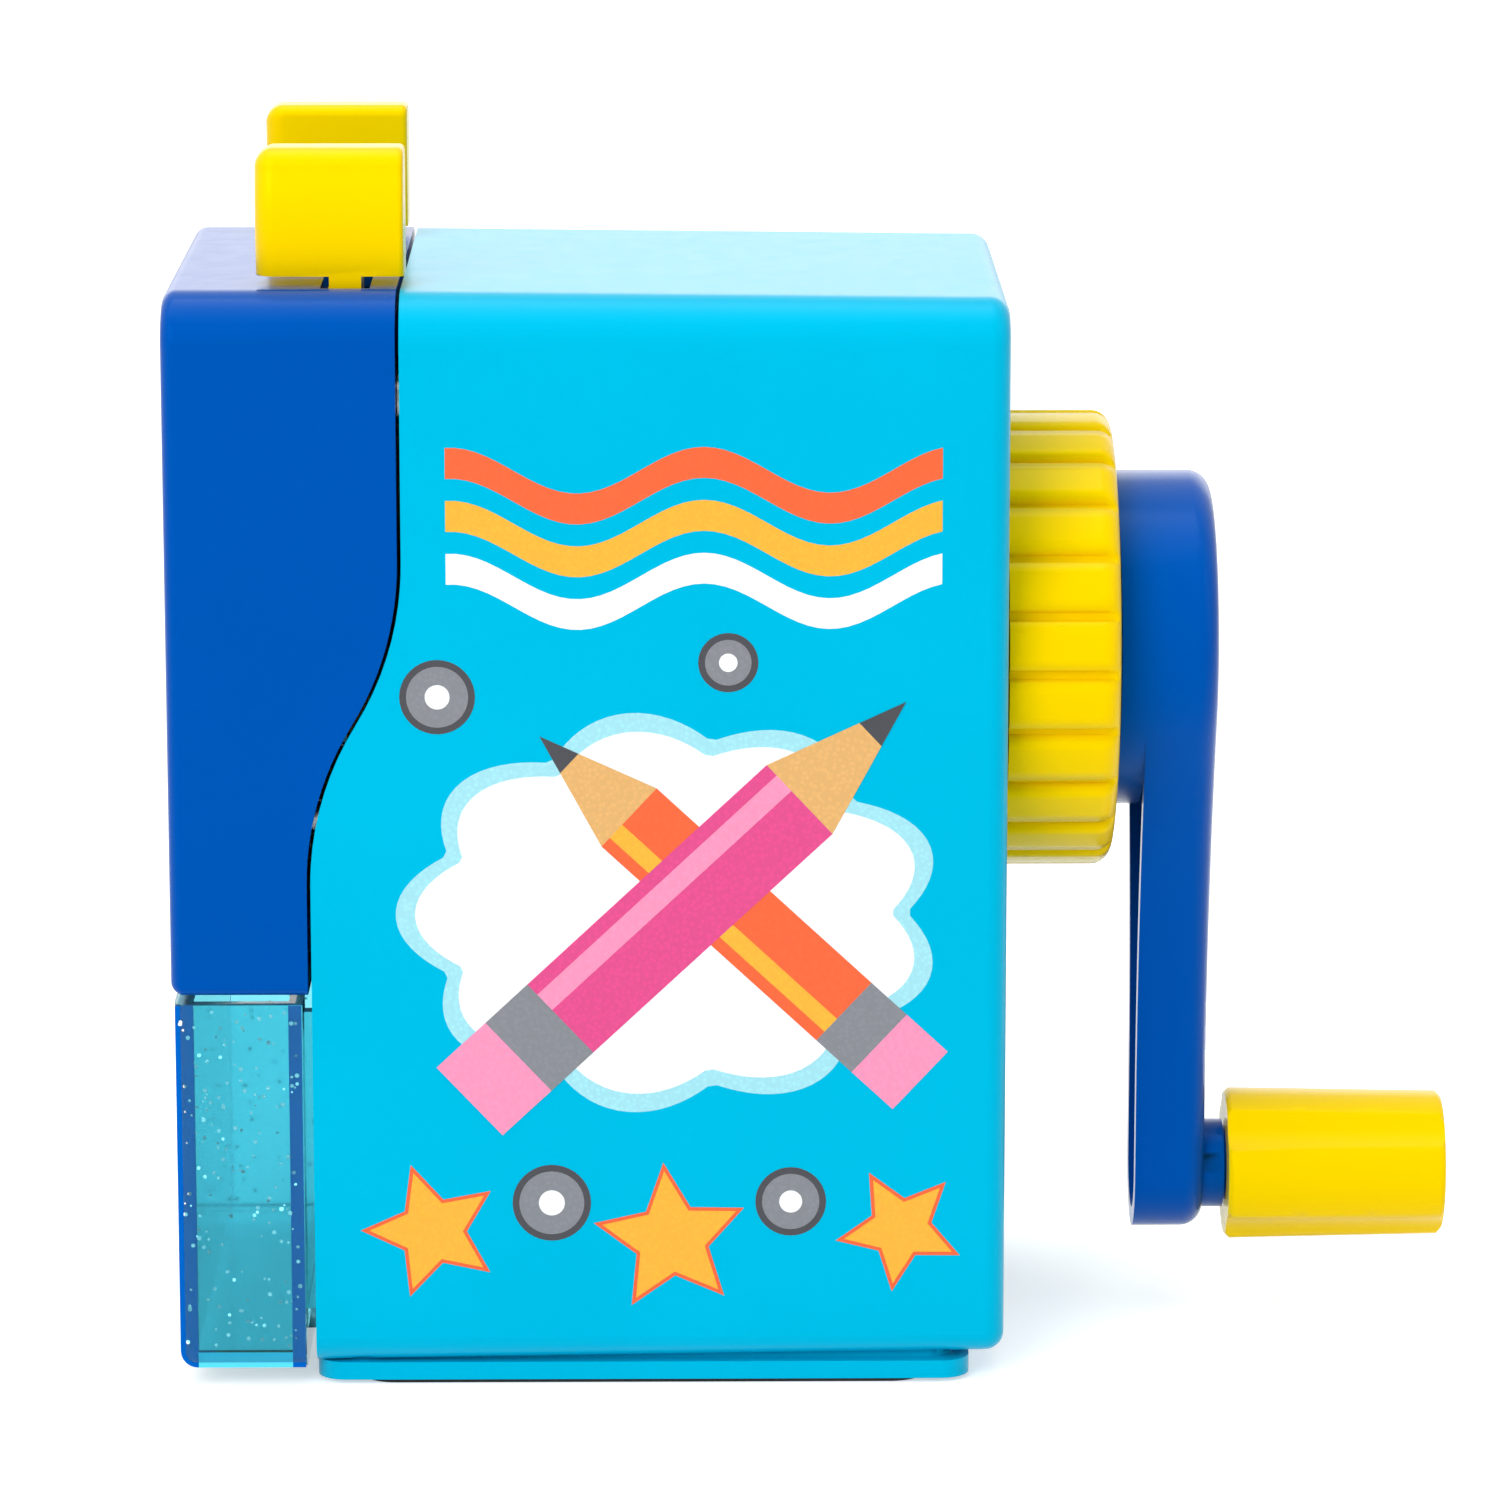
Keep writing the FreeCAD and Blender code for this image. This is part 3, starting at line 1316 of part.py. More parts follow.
def tab_corners(side):
    """The finger tab seen along X, with a bulging outer face and a rounded top."""
    inner = TAB_INNER
    outer = TAB_OUTER
    height = TAB_TOP_Z - d.tab_round - TAB_BOTTOM_Z
    bulge = (height * height / 4 + d.tab_bulge * d.tab_bulge) / (d.tab_bulge * 2)
    turn = -side
    corners = [
        (inner * side, TAB_BOTTOM_Z),
        (inner * side, TAB_TOP_Z - d.tab_edge, d.tab_edge, turn),
        ((inner + d.tab_edge) * side, TAB_TOP_Z),
        ((outer - d.tab_round) * side, TAB_TOP_Z, d.tab_round, turn),
        (outer * side, TAB_TOP_Z - d.tab_round, bulge, turn),
        (outer * side, TAB_BOTTOM_Z),
    ]
    return corners


def clamp_lever(label, start, side, tab_x):
    body = new_body(label)
    plate = new_sketch(body, "YZ", depth=start)
    add_outline(plate, lever_corners(side))
    add_pad(body, plate, d.lever_thick)
    eye = new_sketch(body, "YZ", depth=start)
    add_circle(eye, 0, d.pivot_height, d.eye_radius)
    add_pad(body, eye, d.lever_thick)
    tab = new_sketch(body, "YZ", depth=tab_x)
    add_outline(tab, tab_corners(side))
    add_pad(body, tab, d.tab_len, centred=True)
    seat = new_sketch(body, "YZ", depth=LEVER_SPLIT_X)
    inner = NECK_INNER * side
    outer = (NECK_INNER + d.seat_thick) * side
    low, high = (outer, inner) if side < 0 else (inner, outer)
    add_outline(seat, box(low, high, SEAT_LOW_Z, SEAT_TOP_Z))
    add_pad(body, seat, d.lever_thick * 2 + d.lever_gap, centred=True)
    hole = new_sketch(body, "YZ", depth=start)
    add_circle(hole, 0, d.pivot_height, d.pivot_radius + d.fit)
    add_pocket(body, hole, d.lever_thick, reverse=True)
    half_tab = d.tab_len / 2
    for end, radius in ((tab_x - half_tab, d.tab_front_round), (tab_x + half_tab, d.tab_rear_round)):
        round_edges(body, radius, lambda e: edge_in_plane(e, "X", end)
                    and e.BoundBox.ZMax > TAB_BOTTOM_Z.value + d.tab_edge.value)
    return keep(body, label)


def jaw_pad(label, side):
    """A pad on the lever's jaw, with a shallow notch that centres the pencil."""
    body = new_body(label)
    plan = new_sketch(body, "YZ", depth=LEVER_SPLIT_X)
    back = -d.jaw_face * side
    face = -(d.jaw_face - d.pad_reach) * side
    notch = -(d.jaw_face - d.pad_reach + d.pad_notch) * side
    corners = [
        (back, d.axis_height - d.pad_half),
        (back, d.axis_height + d.pad_half),
        (face, d.axis_height + d.pad_half),
        (notch, d.axis_height),
        (face, d.axis_height - d.pad_half),
    ]
    add_outline(plan, corners if side < 0 else corners[::-1])
    add_pad(body, plan, d.jaw_pad_len, centred=True)
    return keep(body, label)


# Springs
def biarc(start, start_dir, end, end_dir):
    """Two arcs that leave start and reach end along the given directions."""
    chord = end - start
    both = start_dir + end_dir
    bend = 2 * (1 - start_dir.dot(end_dir))
    along = chord.dot(both)
    reach = (-along + math.sqrt(along * along + bend * chord.dot(chord))) / bend
    middle = (start + end + (start_dir - end_dir) * reach) * 0.5
    first = Part.Arc(start, arc_middle(start, start_dir, middle), middle).toShape()
    last = Part.Arc(middle, arc_middle(end, end_dir * -1, middle), end).toShape()
    return [first, last]


def arc_middle(start, direction, end):
    chord = end - start
    unit = chord * (1 / chord.Length)
    half = (direction + unit).normalize()
    return start + half * (chord.Length / 2 / half.dot(unit))


def coil(start, axis, side, length, turns, radius, wire):
    """One unbroken tube wound round an axis, and the least gap between its neighbouring turns."""
    across = axis.cross(side)
    quarters = int(round(turns * 4))
    rise = length / quarters

    def point(step):
        angle = math.pi / 2 * step
        return start + axis * (rise * step) + (side * math.cos(angle) + across * math.sin(angle)) * radius

    def direction(step):
        angle = math.pi / 2 * step
        turning = (across * math.cos(angle) - side * math.sin(angle)) * (radius * math.pi / 2)
        return (turning + axis * rise).normalize()

    edges = []
    for step in range(quarters):
        edges += biarc(point(step), direction(step), point(step + 1), direction(step + 1))
    path = Part.Wire(edges)
    circle = Part.Circle(point(0), direction(0), wire / 2)
    tube = path.makePipeShell([Part.Wire(circle.toShape())], True, False)
    gap = min((point(i) - point(i + 4 + k)).Length for i in range(quarters - 5) for k in (0, 1)) - wire
    return tube, gap


def feed_springs():
    tubes = []
    length = CLIP_X.value - COLLAR_END_X.value - d.feed_wire.value - d.free_gap.value * 2
    for y, z in rod_places():
        start = Vector(COLLAR_END_X.value + d.feed_wire.value / 2 + d.free_gap.value, y.value, z.value)
        tube, gap = coil(start, Vector(1, 0, 0), Vector(0, 0, 1), length, d.feed_turns.value,
                         d.feed_coil_radius.value, d.feed_wire.value)
        tubes.append(tube)
    print("feed spring least gap to itself %.2f" % gap)
    return solid_feature("feed_springs", Part.makeCompound(tubes))


def lever_spring():
    half = NECK_INNER.value - d.lever_wire.value / 2 - d.free_gap.value
    height = (SEAT_LOW_Z.value + SEAT_TOP_Z.value) / 2
    tube, gap = coil(Vector(LEVER_SPLIT_X.value, -half, height), Vector(0, 1, 0), Vector(0, 0, 1), 2 * half,
                     d.lever_turns.value, d.lever_coil_radius.value, d.lever_wire.value)
    print("lever spring least gap to itself %.2f" % gap)
    return solid_feature("lever_spring", tube)


# Drawer
def shavings_drawer():
    """A clear drawer: a full-width bin in front, a narrower and shallower tray behind it in the housing."""
    body = new_body("shavings_drawer")
    block = new_sketch(body, "XY", depth=d.drawer_bottom)
    add_outline(block, box(DRAWER_X, DRAWER_STEP_X, -HALF_WIDTH, HALF_WIDTH))
    add_pad(body, block, d.drawer_top - d.drawer_bottom)
    tray = new_sketch(body, "XY", depth=DRAWER_FLOOR_Z)
    add_outline(tray, box(DRAWER_STEP_X - d.drawer_step, DRAWER_END_X, -DRAWER_HALF, DRAWER_HALF))
    add_pad(body, tray, d.drawer_top - DRAWER_FLOOR_Z - d.drawer_step)
    front = DRAWER_X
    round_edges(body, d.drawer_round, lambda e: near(e.BoundBox.XMin, front) and e.BoundBox.ZMin
                < d.drawer_top.value - 1)
    well = new_sketch(body, "XY", depth=d.drawer_bottom + d.drawer_wall)
    half = HALF_WIDTH - d.drawer_wall
    add_outline(well, box(DRAWER_X + d.drawer_front_wall, DRAWER_STEP_X - d.drawer_step, -half, half))
    add_pocket(body, well, d.drawer_top, reverse=True)
    inside = new_sketch(body, "XY", depth=DRAWER_FLOOR_Z + d.drawer_wall)
    half = DRAWER_HALF - d.drawer_wall
    add_outline(inside, box(DRAWER_X + d.drawer_front_wall, DRAWER_END_X - d.drawer_wall, -half, half))
    add_pocket(body, inside, d.drawer_top, reverse=True)
    return keep(body, "shavings_drawer")


def build_all():
    for make in (housing_shell, base_plate, base_pad, base_screws, inner_frame, frame_screws, pencil_guide,
                 rear_cap, shaft_bush, ring_gear, cutter_pinion, helical_cutter, cutter_axle, cutter_carrier,
                 crank_arm, crank_shaft, crank_screw, crank_grip, front_carriage, carriage_back,
                 carriage_screws, guide_rods, rod_clips, lever_pin, feed_springs, lever_spring,
                 shavings_drawer):
        make()
    clamp_lever("near_lever", NEAR_LEVER_X, -1, LEVER_SPLIT_X + d.near_tab_shift)
    clamp_lever("far_lever", FAR_LEVER_X, 1, LEVER_SPLIT_X + d.far_tab_shift)
    jaw_pad("near_jaw_pad", -1)
    jaw_pad("far_jaw_pad", 1)


def check_all():
    """Stops before writing if any object failed or any sub-part is unsound."""
    doc.recompute()
    for thing in doc.Objects:
        if "Invalid" in thing.State or "Error" in thing.State:
            raise RuntimeError("%s failed" % thing.Label)
    for thing in nodes:
        if thing.Shape.isNull() or not thing.Shape.isValid() or not thing.Shape.Solids:
            raise RuntimeError("%s is unsound" % thing.Label)


def write_all():
    os.makedirs("parts", exist_ok=True)
    for thing in nodes:
        thing.Shape.exportStep("parts/%s.step" % thing.Label)
        box_of = thing.Shape.BoundBox
        print("%-16s solids %d volume %8.0f  x %6.1f %6.1f  y %6.1f %6.1f  z %6.1f %6.1f" % (
            thing.Label, len(thing.Shape.Solids), thing.Shape.Volume, box_of.XMin, box_of.XMax, box_of.YMin,
            box_of.YMax, box_of.ZMin, box_of.ZMax))


build_all()
check_all()
write_all()
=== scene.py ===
# %% [markdown]
# # A crank pencil sharpener, dressed for a studio picture
#
# The solids of the sharpener are already modelled and jointed. This lesson gives each of them the finish of
# the real one: glossy moulded plastic, clear coloured plastic with glitter, rubber, steel and brass. It also
# adds what a solid model leaves out, such as the printed decoration on the side.

# %% Load the solids
import json
import math
import random

import bmesh
import bpy
from mathutils import Matrix, Vector


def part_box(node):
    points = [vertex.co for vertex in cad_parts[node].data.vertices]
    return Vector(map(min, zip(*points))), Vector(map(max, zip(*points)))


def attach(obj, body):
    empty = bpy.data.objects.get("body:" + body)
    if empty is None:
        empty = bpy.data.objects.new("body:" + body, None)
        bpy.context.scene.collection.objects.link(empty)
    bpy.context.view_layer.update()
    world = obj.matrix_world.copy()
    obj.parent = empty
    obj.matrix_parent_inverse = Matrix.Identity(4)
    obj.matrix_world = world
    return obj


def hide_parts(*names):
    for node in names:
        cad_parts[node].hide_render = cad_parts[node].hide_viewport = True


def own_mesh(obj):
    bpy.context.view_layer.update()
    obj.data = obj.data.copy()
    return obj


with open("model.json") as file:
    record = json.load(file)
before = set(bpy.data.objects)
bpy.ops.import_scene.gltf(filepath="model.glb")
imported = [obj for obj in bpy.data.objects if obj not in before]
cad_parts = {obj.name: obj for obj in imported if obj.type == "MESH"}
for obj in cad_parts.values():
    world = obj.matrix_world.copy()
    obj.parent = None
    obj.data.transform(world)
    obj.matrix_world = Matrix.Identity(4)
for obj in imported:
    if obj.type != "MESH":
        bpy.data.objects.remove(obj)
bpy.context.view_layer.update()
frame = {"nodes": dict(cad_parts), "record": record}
MM = 0.001
print("solids:", len(frame["nodes"]))

# %% [markdown]
# ## Colours and nodes
#
# Colours are picked as sRGB hex values, the way a paint chart gives them. Blender's shaders work in linear
# light, so one function does the change. Another small function adds a shader node, sets its values and
# links it, so that each material below reads as a short recipe.

# %% Colour and node helpers
def linear(hex_colour):
    """An sRGB hex colour as linear red, green, blue and alpha."""
    parts = [int(hex_colour[i:i + 2], 16) / 255 for i in (1, 3, 5)]
    return tuple(p / 12.92 if p <= 0.04045 else ((p + 0.055) / 1.055) ** 2.4 for p in parts) + (1.0,)


def add_node(tree, kind, settings=None, values=None, links=None):
    """Adds a node, sets its properties and input values, and links other sockets into it."""
    node = tree.nodes.new(kind)
    for key, value in (settings or {}).items():
        setattr(node, key, value)
    for key, value in (values or {}).items():
        node.inputs[key].default_value = value
    for key, socket in (links or {}).items():
        tree.links.new(socket, node.inputs[key])
    return node


def new_material(name):
    """An empty node material, its tree and its output node."""
    material = bpy.data.materials.new(name)
    material.use_nodes = True
    tree = material.node_tree
    tree.nodes.clear()
    output = tree.nodes.new("ShaderNodeOutputMaterial")
    return material, tree, output


print("mid grey in linear light:", round(linear("#808080")[0], 3))

# %% [markdown]
# ## Moulded plastic
#
# The body, carriage, cap, tabs and crank are injection-moulded ABS, polished in the mould. The eye reads this
# from a strong, slightly soft reflection, a faint waviness that bends it (moulders call it orange peel), and
# colour that is a touch uneven where the plastic flowed. So the base colour gets a very slight large-scale
# variation, the roughness a finer one, and a weak bump makes the waviness. Seen square on, the gloss here
# takes the colour of the plastic, and seen along the surface it is white. The gloss of real plastic is white
# at every angle, and the tint is there to keep the colours as deep as in the photograph.

# %% Moulded plastic
FLOW_MM = 35.0
PEEL_MM = 2.2
PEEL_HEIGHT = 0.02 * MM
PEEL_STRENGTH = 0.05
GLOSS_SPREAD = 0.15
PLASTIC_IOR = 1.5
PLASTIC_GLOSS = 0.35


def moulded_plastic(name, hex_colour, roughness, uneven=0.06):
    """Glossy plastic whose colour, gloss and surface are each a little uneven."""
    material, tree, output = new_material(name)
    place = add_node(tree, "ShaderNodeTexCoord")
    flow = add_node(tree, "ShaderNodeTexNoise", values={"Scale": 1 / (FLOW_MM * MM), "Detail": 2.0},
                    links={"Vector": place.outputs["Object"]})
    level = add_node(tree, "ShaderNodeMapRange", values={"To Min": 1 - uneven, "To Max": 1 + uneven},
                     links={"Value": flow.outputs["Fac"]})
    tint = add_node(tree, "ShaderNodeHueSaturation", values={"Color": linear(hex_colour)},
                    links={"Value": level.outputs["Result"]})
    fine = add_node(tree, "ShaderNodeTexNoise", values={"Scale": 1 / (PEEL_MM * MM), "Detail": 1.0},
                    links={"Vector": place.outputs["Object"]})
    gloss = add_node(tree, "ShaderNodeMapRange",
                     values={"To Min": roughness * (1 - GLOSS_SPREAD),
                             "To Max": roughness * (1 + GLOSS_SPREAD)},
                     links={"Value": fine.outputs["Fac"]})
    peel = add_node(tree, "ShaderNodeBump", values={"Strength": PEEL_STRENGTH, "Distance": PEEL_HEIGHT},
                    links={"Height": fine.outputs["Fac"]})
    surface = add_node(tree, "ShaderNodeBsdfPrincipled",
                       values={"IOR": PLASTIC_IOR, "Specular IOR Level": PLASTIC_GLOSS,
                               "Specular Tint": linear(hex_colour)},
                       links={"Base Color": tint.outputs["Color"], "Roughness": gloss.outputs["Result"],
                              "Normal": peel.outputs["Normal"]})
    tree.links.new(surface.outputs["BSDF"], output.inputs["Surface"])
    return material


SKY_BLUE = moulded_plastic("sky_blue_abs", "#00B1D6", roughness=0.24)
DEEP_BLUE = moulded_plastic("deep_blue_abs", "#004EA6", roughness=0.2)
YELLOW = moulded_plastic("yellow_abs", "#F2CC00", roughness=0.24, uneven=0.03)
WHITE_NYLON = moulded_plastic("white_nylon", "#DCDDD8", roughness=0.45)
DARK_NYLON = moulded_plastic("dark_nylon", "#34373B", roughness=0.5)
print("plastics:", [plastic.name for plastic in (SKY_BLUE, DEEP_BLUE, YELLOW, WHITE_NYLON, DARK_NYLON)])

# %% [markdown]
# ## Rubber and metals
#
# The pad under the base and the pads of the jaws are black rubber: dull, with a fine grain. The rods, pins,
# screws and springs are bright drawn steel, the bush is brass, the cutter's carrier is cast metal with a
# coarser, duller skin, and the glitter in the drawer is metallised film. All of them come from one recipe: a
# base colour, a metallic value and a noise that drives roughness and bump. The real grain is too fine to show
# in a picture of the whole, so it is drawn coarser, at half a millimetre and more.

# %% Rubber and metals
DULL_SHARE = 1.25
BRIGHT_SHARE = 0.8
GRAIN_HEIGHT = 0.05 * MM


def grained(name, hex_colour, metallic, roughness, grain_mm, bump):
    """Rubber or metal with a grain that shows in its roughness and its surface."""
    material, tree, output = new_material(name)
    place = add_node(tree, "ShaderNodeTexCoord")
    grain = add_node(tree, "ShaderNodeTexNoise", values={"Scale": 1 / (grain_mm * MM), "Detail": 3.0},
                     links={"Vector": place.outputs["Object"]})
    dull = add_node(tree, "ShaderNodeMapRange",
                    values={"To Min": roughness * BRIGHT_SHARE, "To Max": min(roughness * DULL_SHARE, 1.0)},
                    links={"Value": grain.outputs["Fac"]})
    relief = add_node(tree, "ShaderNodeBump", values={"Strength": bump, "Distance": GRAIN_HEIGHT},
                      links={"Height": grain.outputs["Fac"]})
    surface = add_node(tree, "ShaderNodeBsdfPrincipled",
                       values={"Base Color": linear(hex_colour), "Metallic": metallic},
                       links={"Roughness": dull.outputs["Result"], "Normal": relief.outputs["Normal"]})
    tree.links.new(surface.outputs["BSDF"], output.inputs["Surface"])
    return material


BLACK_RUBBER = grained("black_rubber", "#1B1C1E", metallic=0.0, roughness=0.75, grain_mm=0.7, bump=0.4)
STEEL = grained("drawn_steel", "#C4C7CB", metallic=1.0, roughness=0.22, grain_mm=0.6, bump=0.05)
BRASS = grained("turned_brass", "#D9AE5B", metallic=1.0, roughness=0.28, grain_mm=0.6, bump=0.05)
CAST_METAL = grained("cast_zinc", "#A9ACB0", metallic=1.0, roughness=0.42, grain_mm=1.2, bump=0.25)
GLITTER = grained("glitter_flake", "#E9EEF2", metallic=0.6, roughness=0.25, grain_mm=0.5, bump=0.0)
print("grained:", [grain.name for grain in (BLACK_RUBBER, STEEL, BRASS, CAST_METAL, GLITTER)])

# %% [markdown]
# ## Clear coloured plastic
#
# The drawer is clear polystyrene, dyed blue. Light that goes in and out of a wall takes the dye's colour once
# for each wall, so the tint belongs to the surface here, which gives two thin walls the right depth of
# colour. A small share of the light is scattered, as glitter and fine dust in the plastic do, so that the
# drawer still looks blue in front of something dark.

# %% Clear plastic
WAVE_MM = 6.0
WAVE_SPREAD = 0.03
WAVE_HEIGHT = 0.05 * MM
WAVE_STRENGTH = 0.04
CLEAR_ROUGHNESS = 0.06


def clear_plastic(name, hex_colour, clear_share):
    """Clear dyed plastic with slightly wavy walls, of which a share passes the light straight on."""
    material, tree, output = new_material(name)
    place = add_node(tree, "ShaderNodeTexCoord")
    wave = add_node(tree, "ShaderNodeTexNoise", values={"Scale": 1 / (WAVE_MM * MM), "Detail": 1.0},
                    links={"Vector": place.outputs["Object"]})
    level = add_node(tree, "ShaderNodeMapRange",
                     values={"To Min": 1 - WAVE_SPREAD, "To Max": 1 + WAVE_SPREAD},
                     links={"Value": wave.outputs["Fac"]})
    tint = add_node(tree, "ShaderNodeHueSaturation", values={"Color": linear(hex_colour)},
                    links={"Value": level.outputs["Result"]})
    relief = add_node(tree, "ShaderNodeBump", values={"Strength": WAVE_STRENGTH, "Distance": WAVE_HEIGHT},
                      links={"Height": wave.outputs["Fac"]})
    surface = add_node(tree, "ShaderNodeBsdfPrincipled",
                       values={"Roughness": CLEAR_ROUGHNESS, "IOR": PLASTIC_IOR,
                               "Transmission Weight": clear_share, "Specular Tint": linear(hex_colour)},
                       links={"Base Color": tint.outputs["Color"], "Normal": relief.outputs["Normal"]})
    tree.links.new(surface.outputs["BSDF"], output.inputs["Surface"])
    return material


CLEAR_BLUE = clear_plastic("clear_blue_polystyrene", "#77D1DE", clear_share=0.95)
print("clear plastic:", CLEAR_BLUE.name)

# %% [markdown]
# ## Dressing the solids
#
# A solid comes in as loose triangles. A copy of it, with its corners merged, can be shaded smooth across its
# rounded edges and sharp across its hard ones, which is what makes a moulded edge catch the light. Triangles
# that lie in one plane are joined to one face, so that a flat wall stays flat to the light. Each copy stands
# for its solid and moves with the same body.

# %% Dress each solid
BODY_OF = {node: body for body, group in frame["record"]["behaviour"]["bodies"].items() for node in group}
SLOT_OF = {part["node"]: part["material_slot"] for part in frame["record"]["subparts"]}
FINISHES = {
    "shell_blue": SKY_BLUE,
    "carriage_blue": DEEP_BLUE,
    "yellow": YELLOW,
    "clear_blue": CLEAR_BLUE,
    "black_rubber": BLACK_RUBBER,
    "jaw_rubber": BLACK_RUBBER,
    "frame_grey": DARK_NYLON,
    "guide_white": WHITE_NYLON,
    "steel": STEEL,
    "brass": BRASS,
    "cast_metal": CAST_METAL,
}
SMOOTH_ANGLE = math.radians(32)
FLAT_ANGLE = math.radians(0.3)
MERGE = 0.002 * MM
FACE_WEIGHT = 100


def show(name, work, material, body):
    """Makes a piece of the object from a bmesh, and lets it ride on a body."""
    mesh = bpy.data.meshes.new(name)
    work.to_mesh(mesh)
    work.free()
    for face in mesh.polygons:
        face.use_smooth = True
    mesh.set_sharp_from_angle(angle=SMOOTH_ANGLE)
    mesh.materials.append(material)
    piece = bpy.data.objects.new(name, mesh)
    bpy.context.collection.objects.link(piece)
    even = piece.modifiers.new("even_shading", "WEIGHTED_NORMAL")
    even.keep_sharp = True
    even.weight = FACE_WEIGHT
    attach(piece, body)
    return piece


def merged_copy(node):
    """A solid's triangles with their corners merged."""
    work = bmesh.new()
    work.from_mesh(frame["nodes"][node].data)
    bmesh.ops.remove_doubles(work, verts=work.verts, dist=MERGE)
    return work


def dress(node):
    """A smooth-shaded copy of a solid, in its finish."""
    work = merged_copy(node)
    bmesh.ops.dissolve_limit(work, angle_limit=FLAT_ANGLE, verts=work.verts, edges=work.edges)
    slot = SLOT_OF[node]
    piece = show(node + "_dressed", work, FINISHES[slot], BODY_OF[node])
    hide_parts(node)
    return piece


REMADE = {"rear_cap"}
dressed = {node: dress(node) for node in sorted(set(frame["nodes"]) - REMADE)}
print("dressed:", len(dressed))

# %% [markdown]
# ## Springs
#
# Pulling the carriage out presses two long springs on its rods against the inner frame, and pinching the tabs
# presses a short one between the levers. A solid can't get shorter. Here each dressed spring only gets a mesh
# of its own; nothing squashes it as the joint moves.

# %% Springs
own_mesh(dressed["feed_springs"])
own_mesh(dressed["lever_spring"])

# %% [markdown]
# ## The ribbed cap
#
# The yellow cap at the back is twisted by hand to take the cutter out, so its rim is ribbed. A mould maker
# turns the outside and then cuts the grooves. Here the outline of one rib is spun round the axis, and the
# closed outline is pushed along the axis in steps. Near the face each step is held under a shrinking radius,
# which rounds the edge and lets the grooves run out into it. The part of the solid that sits inside the
# housing is kept, cut off where the rim starts and closed there.

# %% Ribbed cap
AXIS_Z = 74.5 * MM
CAP_BACK_X = 38.3 * MM
CAP_FACE_X = 50.0 * MM
RIM_GAP = 0.1 * MM
RIM_RADIUS = 24.35 * MM
GROOVE_FLOOR = 23.3 * MM
EDGE_ROUND = 2.0 * MM
EDGE_STEPS = 6
HOLE_RADIUS = 8.6 * MM
RIBS = 24
RIB_TURN = 2 * math.pi / RIBS
RIB_TOP_STEPS = 4
RIB_MERGE = 0.01 * MM
GROOVE_SHARE = 0.13
WALL_SHARE = 0.05
TOP_SHARE = 1 - GROOVE_SHARE - 2 * WALL_SHARE


def about_axis(radius, angle, x):
    """A point at a radius and an angle about the cap's axis."""
    return Vector((x, radius * math.sin(angle), AXIS_Z + radius * math.cos(angle)))


def of_kind(geometry, kind):
    """The items of one kind, such as the verts, in what a bmesh operator returns."""
    return [item for item in geometry if isinstance(item, kind)]


def push_on(work, edges, x, limit):
    """Extends a loop of edges to a place along the axis, held under a radius."""
    grown = bmesh.ops.extrude_edge_only(work, edges=edges)["geom"]
    for vert in of_kind(grown, bmesh.types.BMVert):
        out = math.hypot(vert.co.y, vert.co.z - AXIS_Z)
        share = min(out, limit) / out
        vert.co = Vector((x, vert.co.y * share, AXIS_Z + (vert.co.z - AXIS_Z) * share))
    return of_kind(grown, bmesh.types.BMEdge)


def inner_cap():
    """The part of the cap's solid inside the housing, closed where it is cut."""
    work = merged_copy("rear_cap")
    everything = work.verts[:] + work.edges[:] + work.faces[:]
    cut = bmesh.ops.bisect_plane(work, geom=everything, plane_co=(CAP_BACK_X - RIM_GAP, 0, 0),
                                 plane_no=(1, 0, 0), clear_outer=True)["geom_cut"]
    bmesh.ops.triangle_fill(work, use_beauty=True, edges=of_kind(cut, bmesh.types.BMEdge), normal=(1, 0, 0))
    return work


def rib_circle(work):
    """The outline of one groove and rib, spun round the axis at the back of the rim."""
    corners = [(GROOVE_FLOOR, 0.0), (GROOVE_FLOOR, GROOVE_SHARE), (RIM_RADIUS, GROOVE_SHARE + WALL_SHARE)]
    corners += [(RIM_RADIUS, GROOVE_SHARE + WALL_SHARE + TOP_SHARE * step / RIB_TOP_STEPS)
                for step in range(1, RIB_TOP_STEPS + 1)]
    corners.append((GROOVE_FLOOR, 1.0))
    verts = [work.verts.new(about_axis(radius, share * RIB_TURN, CAP_BACK_X)) for radius, share in corners]
    edges = [work.edges.new(pair) for pair in zip(verts, verts[1:])]
    bmesh.ops.spin(work, geom=verts + edges, cent=(0, 0, AXIS_Z), axis=(-1, 0, 0), angle=2 * math.pi,
                   steps=RIBS, use_duplicate=True)
    bmesh.ops.remove_doubles(work, verts=work.verts, dist=RIB_MERGE)
    return work.edges[:]


def ribbed_rim():
    """The closed rim: ribs, rounded edge, face and the hole for the crank."""
    rim = bmesh.new()
    loop = push_on(rim, rib_circle(rim), CAP_FACE_X - EDGE_ROUND, RIM_RADIUS)
    for step in range(1, EDGE_STEPS + 1):
        turn = math.pi / 2 * step / EDGE_STEPS
        loop = push_on(rim, loop, CAP_FACE_X - EDGE_ROUND * (1 - math.sin(turn)),
                       RIM_RADIUS - EDGE_ROUND * (1 - math.cos(turn)))
    loop = push_on(rim, loop, CAP_FACE_X, HOLE_RADIUS)
    push_on(rim, loop, CAP_BACK_X, HOLE_RADIUS)
    bmesh.ops.bridge_loops(rim, edges=[edge for edge in rim.edges if edge.is_boundary])
    bmesh.ops.recalc_face_normals(rim, faces=rim.faces)
    mesh = bpy.data.meshes.new("rim")
    rim.to_mesh(mesh)
    rim.free()
    return mesh


cap_work = inner_cap()
rim_mesh = ribbed_rim()
cap_work.from_mesh(rim_mesh)
bpy.data.meshes.remove(rim_mesh)
ribbed_cap = show("ribbed_cap", cap_work, YELLOW, "cap")
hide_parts("rear_cap")
print("cap faces:", len(ribbed_cap.data.polygons))

